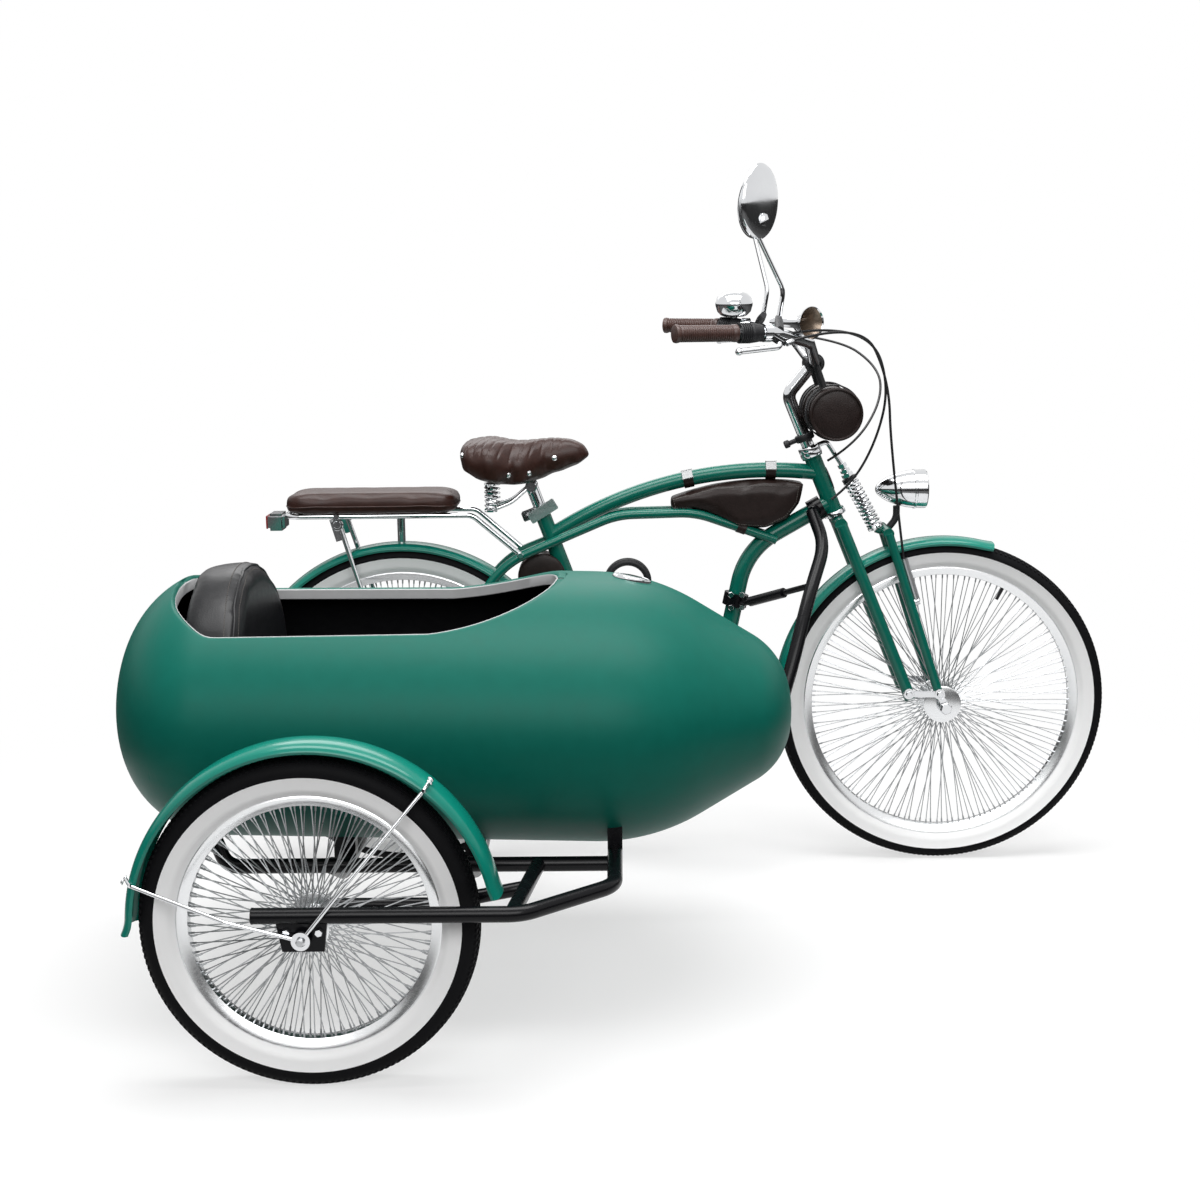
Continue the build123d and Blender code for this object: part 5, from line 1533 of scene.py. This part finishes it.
# %% Cranks
TEETH = 46
CRANK_LENGTH = 165
outline = [(88.5 + (3.5 if k % 2 else 0), 2 * pi * k / (2 * TEETH)) for k in range(2 * TEETH)]
points, faces = [], []
for y in (-48.5, -45.5):
    for r, a in outline:
        points += [ring_point(CRANK, r, a, y), ring_point(CRANK, 74, a, y)]
n = 2 * len(outline)
for k in range(len(outline)):
    a, b = 2 * k, 2 * ((k + 1) % len(outline))
    faces += [(a, b, b + 1, a + 1), (n + a, n + a + 1, n + b + 1, n + b),
              (a, n + a, n + b, b), (a + 1, b + 1, n + b + 1, n + a + 1)]
crank_parts = [mesh_of("ring", points, faces)]
for k in range(5):
    a = 2 * pi * k / 5
    spoke_way = Vector((cos(a), 0, sin(a)))
    crank_parts.append(slab(ring_point(CRANK, 46, a, CHAIN_Y), spoke_way, ACROSS, (64, 17, 3), 1))
crank_parts.append(turned([(-66, 0), (-66, 8), (66, 8), (66, 0)], CRANK, ACROSS, 24))
for side in (-1, 1):
    hub = CRANK + ACROSS * side * 66 * MM
    eye = hub - Vector((side * CRANK_LENGTH, 0, 0)) * MM
    crank_parts.append(slab((hub + eye) / 2, eye - hub, UP, (160, 13, 19), 4))
    for middle, radius in ((hub, 16), (eye, 13)):
        boss = [(-8, 0), (-8, radius - 2), (-6, radius), (6, radius), (8, radius - 2), (8, 0)]
        crank_parts.append(turned(boss, middle, ACROSS, 32))
    crank_parts.append(turned([(-8, 0), (-8, 6), (94, 6), (94, 0)], eye, ACROSS * side, 20))
fit("crank_arms", joined("crank_arms", *crank_parts), "crank", chrome, "chrome", "crankset")
print("crank parts", len(crank_parts), "teeth", TEETH)

# %% Pedals
for side, node, body in ((-1, "pedal_right", "right_pedal"), (1, "pedal_left", "left_pedal")):
    middle = CRANK - Vector((side * CRANK_LENGTH, 0, 0)) * MM + ACROSS * side * 124 * MM
    parts = [(slab(middle + Vector((x, 0, 0)) * MM, ACROSS, UP, (84, 26, 22), 4), 0) for x in (-32, 32)]
    parts += [(slab(middle + ACROSS * y * MM, AHEAD, UP, (88, 3, 16), 1), 1) for y in (-42, 42)]
    parts.append((turned([(-43, 6.2), (-43, 10), (43, 10), (43, 6.2)], middle, ACROSS, 24, loop=True), 1))
    grid = [(x, y, z) for x in (-38, -26, 26, 38) for y in range(-36, 40, 9) for z in (-1, 1)]
    bumps = [(middle + Vector((x, y, z * 10.6)) * MM, UP * z, AHEAD) for x, y, z in grid]
    parts.append((set_out(round_head, bumps, matt_black, 0.0018 / MM), 0))
    fit(f"{node}_block", joined(node, *parts), body, [matt_black, chrome], "plastic_black", node)
print("pedal treads", len(bumps), "bumps each")

# %% [markdown]
# The front strut, the sidecar's axle and the fork's rocker links are solids with sharp corners. The real ones are a
# bent tube, a turned rod and flat links with round eyes, so they are made again from the same places.

# %% Strut, axle and rockers
STRUT = [(836, -36, 733), (852, -110, 679), (810, -200, 585), (774, -262, 464), (700, -330, 250), (-40, -330, 250)]
strut = wire(bent([at(*p) for p in STRUT], 110), 13, smooth=False)
fit("strut_tube", strut, "frame", gloss_black, "paint_black", "front_strut")
AXLE_ROD = [(-1137, 0), (-1137, 4), (-1135, 6), (-1118, 6.4), (-1116, 8), (-964, 8), (-964, 0)]
axle_rod = turned(AXLE_ROD, at(-22, 0, 257), ACROSS, 24)
inner_nut = turned([(-982, 8), (-982, 12), (-972, 12), (-972, 8)], at(-22, 0, 257), ACROSS, 6, loop=True)
fit("side_axle_rod", joined("side_axle_rod", axle_rod, inner_nut), "frame", steel, "steel", "sidecar_axle")
rockers = []
for side in (-1, 1):
    eyes = [on_steer(-388, 0, side * 70), at(1094, side * 70, 364), at(1106, side * 70, 335)]
    for point, radius in zip(eyes, (11, 11, 13)):
        eye = [(-3.4, 0), (-3.4, radius - 1), (-2.6, radius), (2.6, radius), (3.4, radius - 1), (3.4, 0)]
        rockers.append(turned(eye, point, ACROSS, 32))
    for a, b in zip(eyes, eyes[1:]):
        rockers.append(slab((a + b) / 2, b - a, UP, ((b - a).length / MM, 6, 13), 1.5))
for begin, stop in ((-66, -54), (54, 66)):
    bush = [(begin, 5.2), (begin, 9), (stop, 9), (stop, 5.2)]
    rockers.append(turned(bush, FRONT_AXLE, ACROSS, 24, loop=True))
rockers.append(turned([(-80, 0), (-80, 5), (80, 5), (80, 0)], FRONT_AXLE, ACROSS, 24))
fit("rocker_links", joined("rocker_links", *rockers), "steering", chrome, "chrome", "fork_rockers")
print("rocker parts", len(rockers))

# %% [markdown]
# Last come the small fittings: bolts, nuts, rivets, clamp knobs, the hood's oval cap, lenses and straps. They are
# what the eye checks up close. Heads of one kind share one shape, set out from a table of places.

# %% Bolts and nuts
LEFT, RIGHT = ACROSS, -ACROSS
SIDES = ((-1, RIGHT), (1, LEFT))
CLAMP_BOLTS = ((672, 566), (694, 566), (672, 540), (694, 540))
heads = {
    "steering": [(on_steer(-388, 0, s * 73), way) for s, way in SIDES]
    + [(at(1094, s * 73, 364), way) for s, way in SIDES],
    "frame": [(at(x, -1115, 266), RIGHT) for x in (-45, 3)] + [(at(-123, s * 56, 738), way) for s, way in SIDES]
    + [(at(x, -28, z), RIGHT) for x, z in CLAMP_BOLTS] + [(at(246, s * 51, 655), way) for s, way in SIDES],
}
for body, table in heads.items():
    bolts = set_out(hex_head, [(p, way, UP) for p, way in table], chrome, 0.0065 / MM)
    fit(f"{body}_bolts", bolts, body, chrome, "chrome")
nuts = {
    "steering": [(at(1106, s * 73, 335), way, 0.012) for s, way in SIDES],
    "frame": [(at(0, 76, 335), LEFT, 0.012), (at(0, -88, 335), RIGHT, 0.011), (at(-22, -1118, 257), RIGHT, 0.011)],
}
for body, table in nuts.items():
    parts = [set_out(hex_head, [(p, way, UP)], chrome, size / MM) for p, way, size in table]
    fit(f"{body}_axle_nuts", joined("nuts", *parts), body, chrome, "chrome")
print("bolts", sum(len(table) for table in heads.values()), "nuts", sum(len(table) for table in nuts.values()))

# %% Knobs and stay rivets
KNOB = [(0, 0), (0, 11), (1.5, 12.4), (4, 12.4), (5.5, 11), (5.5, 8), (7, 7), (7, 0)]
knobs = []
for side in (-1, 1):
    knobs.append(turned(KNOB, at(-122, side * 52, 722), ACROSS * side, 32))
    knobs.append(slab(at(-122, side * 54, 712), Vector((0.3, side * 0.06, -1)), ACROSS, (44, 17, 4), 1))
fit("rack_knobs", joined("rack_knobs", *knobs), "frame", chrome, "chrome")
stay_rivets = []
for angle in (51, 165):
    way = Vector((cos(radians(angle)), 0, sin(radians(angle))))
    for y in (-15, -30):
        stay_rivets.append((at(-14, -1046 + y, 257) + way * 287 * MM, way, ACROSS))
fit("stay_rivets", set_out(round_head, stay_rivets, chrome, 0.005 / MM), "frame", chrome, "chrome")
print("knobs", len(knobs), "rivets", len(stay_rivets))

# %% Head tube and hood
CUP = [(0, 17.4), (-1, 20), (0, 22), (4, 22.4), (9, 21.6), (12, 18.4), (12, 17.4)]
cups = [turned(CUP, on_steer(u), STEER_UP * s, 40) for u, s in ((-0.2, 1), (139.2, -1))]
fit("headset_cups", joined("headset_cups", *cups), "frame", chrome, "chrome")
badge = turned([(0, 0), (0, 1), (0.4, 1), (0.9, 0.9), (1.6, 0.6), (1.9, 0)], ORIGIN, UP, 48)
for vertex in badge.vertices:
    x, y, z = vertex.co / MM
    wide, proud = x * 9.5, 17.2 - 0.024 * (x * 9.5) ** 2 + z
    vertex.co = on_steer(74) + (ACROSS * wide + STEER_UP * y * 24 + STEER_AHEAD * proud) * MM
fit("head_badge", badge, "frame", matt_black, "plastic_black")

slope = radians(12.2)
cap_up = Vector((sin(slope), 0, cos(slope)))
cap_side = ACROSS.cross(cap_up)
CAP = [(-5, 33), (0.5, 34), (3, 33.2), (4.2, 30), (3.4, 27.5), (4.6, 22), (5, 10), (5, 0)]
cap = turned(CAP, ORIGIN, UP, 64)
for vertex in cap.vertices:
    x, y, z = vertex.co / MM
    vertex.co = BODY + Vector((467, 0, 210)) * MM + (cap_side * x + ACROSS * y * 24 / 34 + cap_up * z) * MM
fit("oval_cap", cap, "frame", chrome, "chrome", "hood_cap")
print("headset cups", len(cups), "and a bare badge")

# %% Tail light, bar clamps and bag ends
tail = slab(at(-252, 0, 724), AHEAD, UP, (36, 59, 35), 6)
lens = slab(at(-270.5, 0, 724), AHEAD, UP, (3, 50, 27), 1)
fit("tail_light", joined("tail_light", (tail, 0), (lens, 1)), "frame", [chrome, lamp_red], "chrome", "tail_lamp")

STEM_COLLAR = [(164, 13.2), (164, 18), (166, 19.5), (176, 19.5), (178, 18), (178, 13.2)]
PINCH_BOLT = [(0, 0), (0, 5), (16, 5), (18, 8), (26, 8), (28, 6), (28, 0)]
collars = [
    (turned(STEM_COLLAR, STEER_FOOT, STEER_UP, 32), 0),
    (turned(PINCH_BOLT, on_steer(171, -16), -STEER_AHEAD, 16), 0),
]
for y in (-36, 36):
    clamp = [(y - 8, 11.4), (y - 8, 15), (y - 6, 17), (y + 6, 17), (y + 8, 15), (y + 8, 11.4)]
    collars.append((turned(clamp, at(838, 0, 1032), ACROSS, 32), 0))
fit("bar_clamps", joined("bar_clamps", *collars), "steering", matt_black, "plastic_black")

BAG_END = [(0, 51.5), (2, 52.4), (4, 51.5), (4.6, 49), (3.4, 47), (1, 46.4), (1, 0)]
ends = []
for side in (-1, 1):
    rim_at = at(873, side * 109.5, 936)
    ends.append(turned(BAG_END, rim_at - ACROSS * side * 4 * MM, ACROSS * side, 64))
fit("roll_bag_ends", joined("roll_bag_ends", *ends), "steering", bag_brown, "leather_dark")

ARM_END = at(-96, -1111, 290)
lip = turned([(0, 8.4), (0, 12.1), (1, 12.4), (3, 12.2)], ARM_END, AHEAD, 32)
hollow = turned([(1.1, 0), (0.9, 8.6)], ARM_END, AHEAD, 32)
fit("arm_end", joined("arm_end", (lip, 0), (hollow, 1)), "frame", [gloss_black, lining_black], "paint_black")
print("clamps", len(collars), "bag ends", len(ends))

# %% [markdown]
# Two leather loops with buckle plates hold the frame bag to the top tube, and two more hold it below. The top tube
# is one long arc, so a point on it comes from the circle through three of its places.

# %% Bag loops
def top_tube_at(share):
    """A point and a direction on the top tube's long arc."""
    ends = on_steer(92.8), at(560, 0, 796), at(306, 0, 688)
    p, q, r = (Vector((end.x, end.z)) for end in ends)
    d = 2 * (p.x * (q.y - r.y) + q.x * (r.y - p.y) + r.x * (p.y - q.y))
    pp, qq, rr = p.length_squared, q.length_squared, r.length_squared
    ux = (pp * (q.y - r.y) + qq * (r.y - p.y) + rr * (p.y - q.y)) / d
    uy = (pp * (r.x - q.x) + qq * (p.x - r.x) + rr * (q.x - p.x)) / d
    middle = Vector((ux, uy))
    first, last = p - middle, r - middle
    angle = first.angle_signed(last)
    turned_by = Matrix.Rotation(-angle * share, 2) @ first
    way = Matrix.Rotation(-angle * share - (0.01 if angle > 0 else -0.01), 2) @ first - turned_by
    point = middle + turned_by
    return Vector((point.x, ends[0].y, point.y)), Vector((way.x, 0, way.y)).normalized()


buckles, loops = [], []
for share in (0.172, 0.467):
    point, way = top_tube_at(share)
    up = way.cross(ACROSS)
    up = up if up.z > 0 else -up
    out = (up * 0.55 - ACROSS * 0.83).normalized()
    buckles.append(slab(point + out * 19.3 * MM, way, out, (21, 19, 2), 0.8))
    loops.append(turned([(-10, 16.2), (-10, 18.3), (10, 18.3), (10, 16.2)], point, way, 40, loop=True))
for side in (-1, 1):
    lower_way = Vector((165, -side * 8, -59))
    loops.append(turned([(-9, 10), (-9, 12), (9, 12), (9, 10)], at(694, side * 18, 702.5), lower_way, 32, loop=True))
strap_parts = [(m, 0) for m in loops] + [(m, 1) for m in buckles]
fit("bag_loops", joined("bag_loops", *strap_parts), "frame", [bag_brown, trim_grey], "leather_dark",
    "frame_bag_straps")
print("loops", len(loops), "buckles", len(buckles))
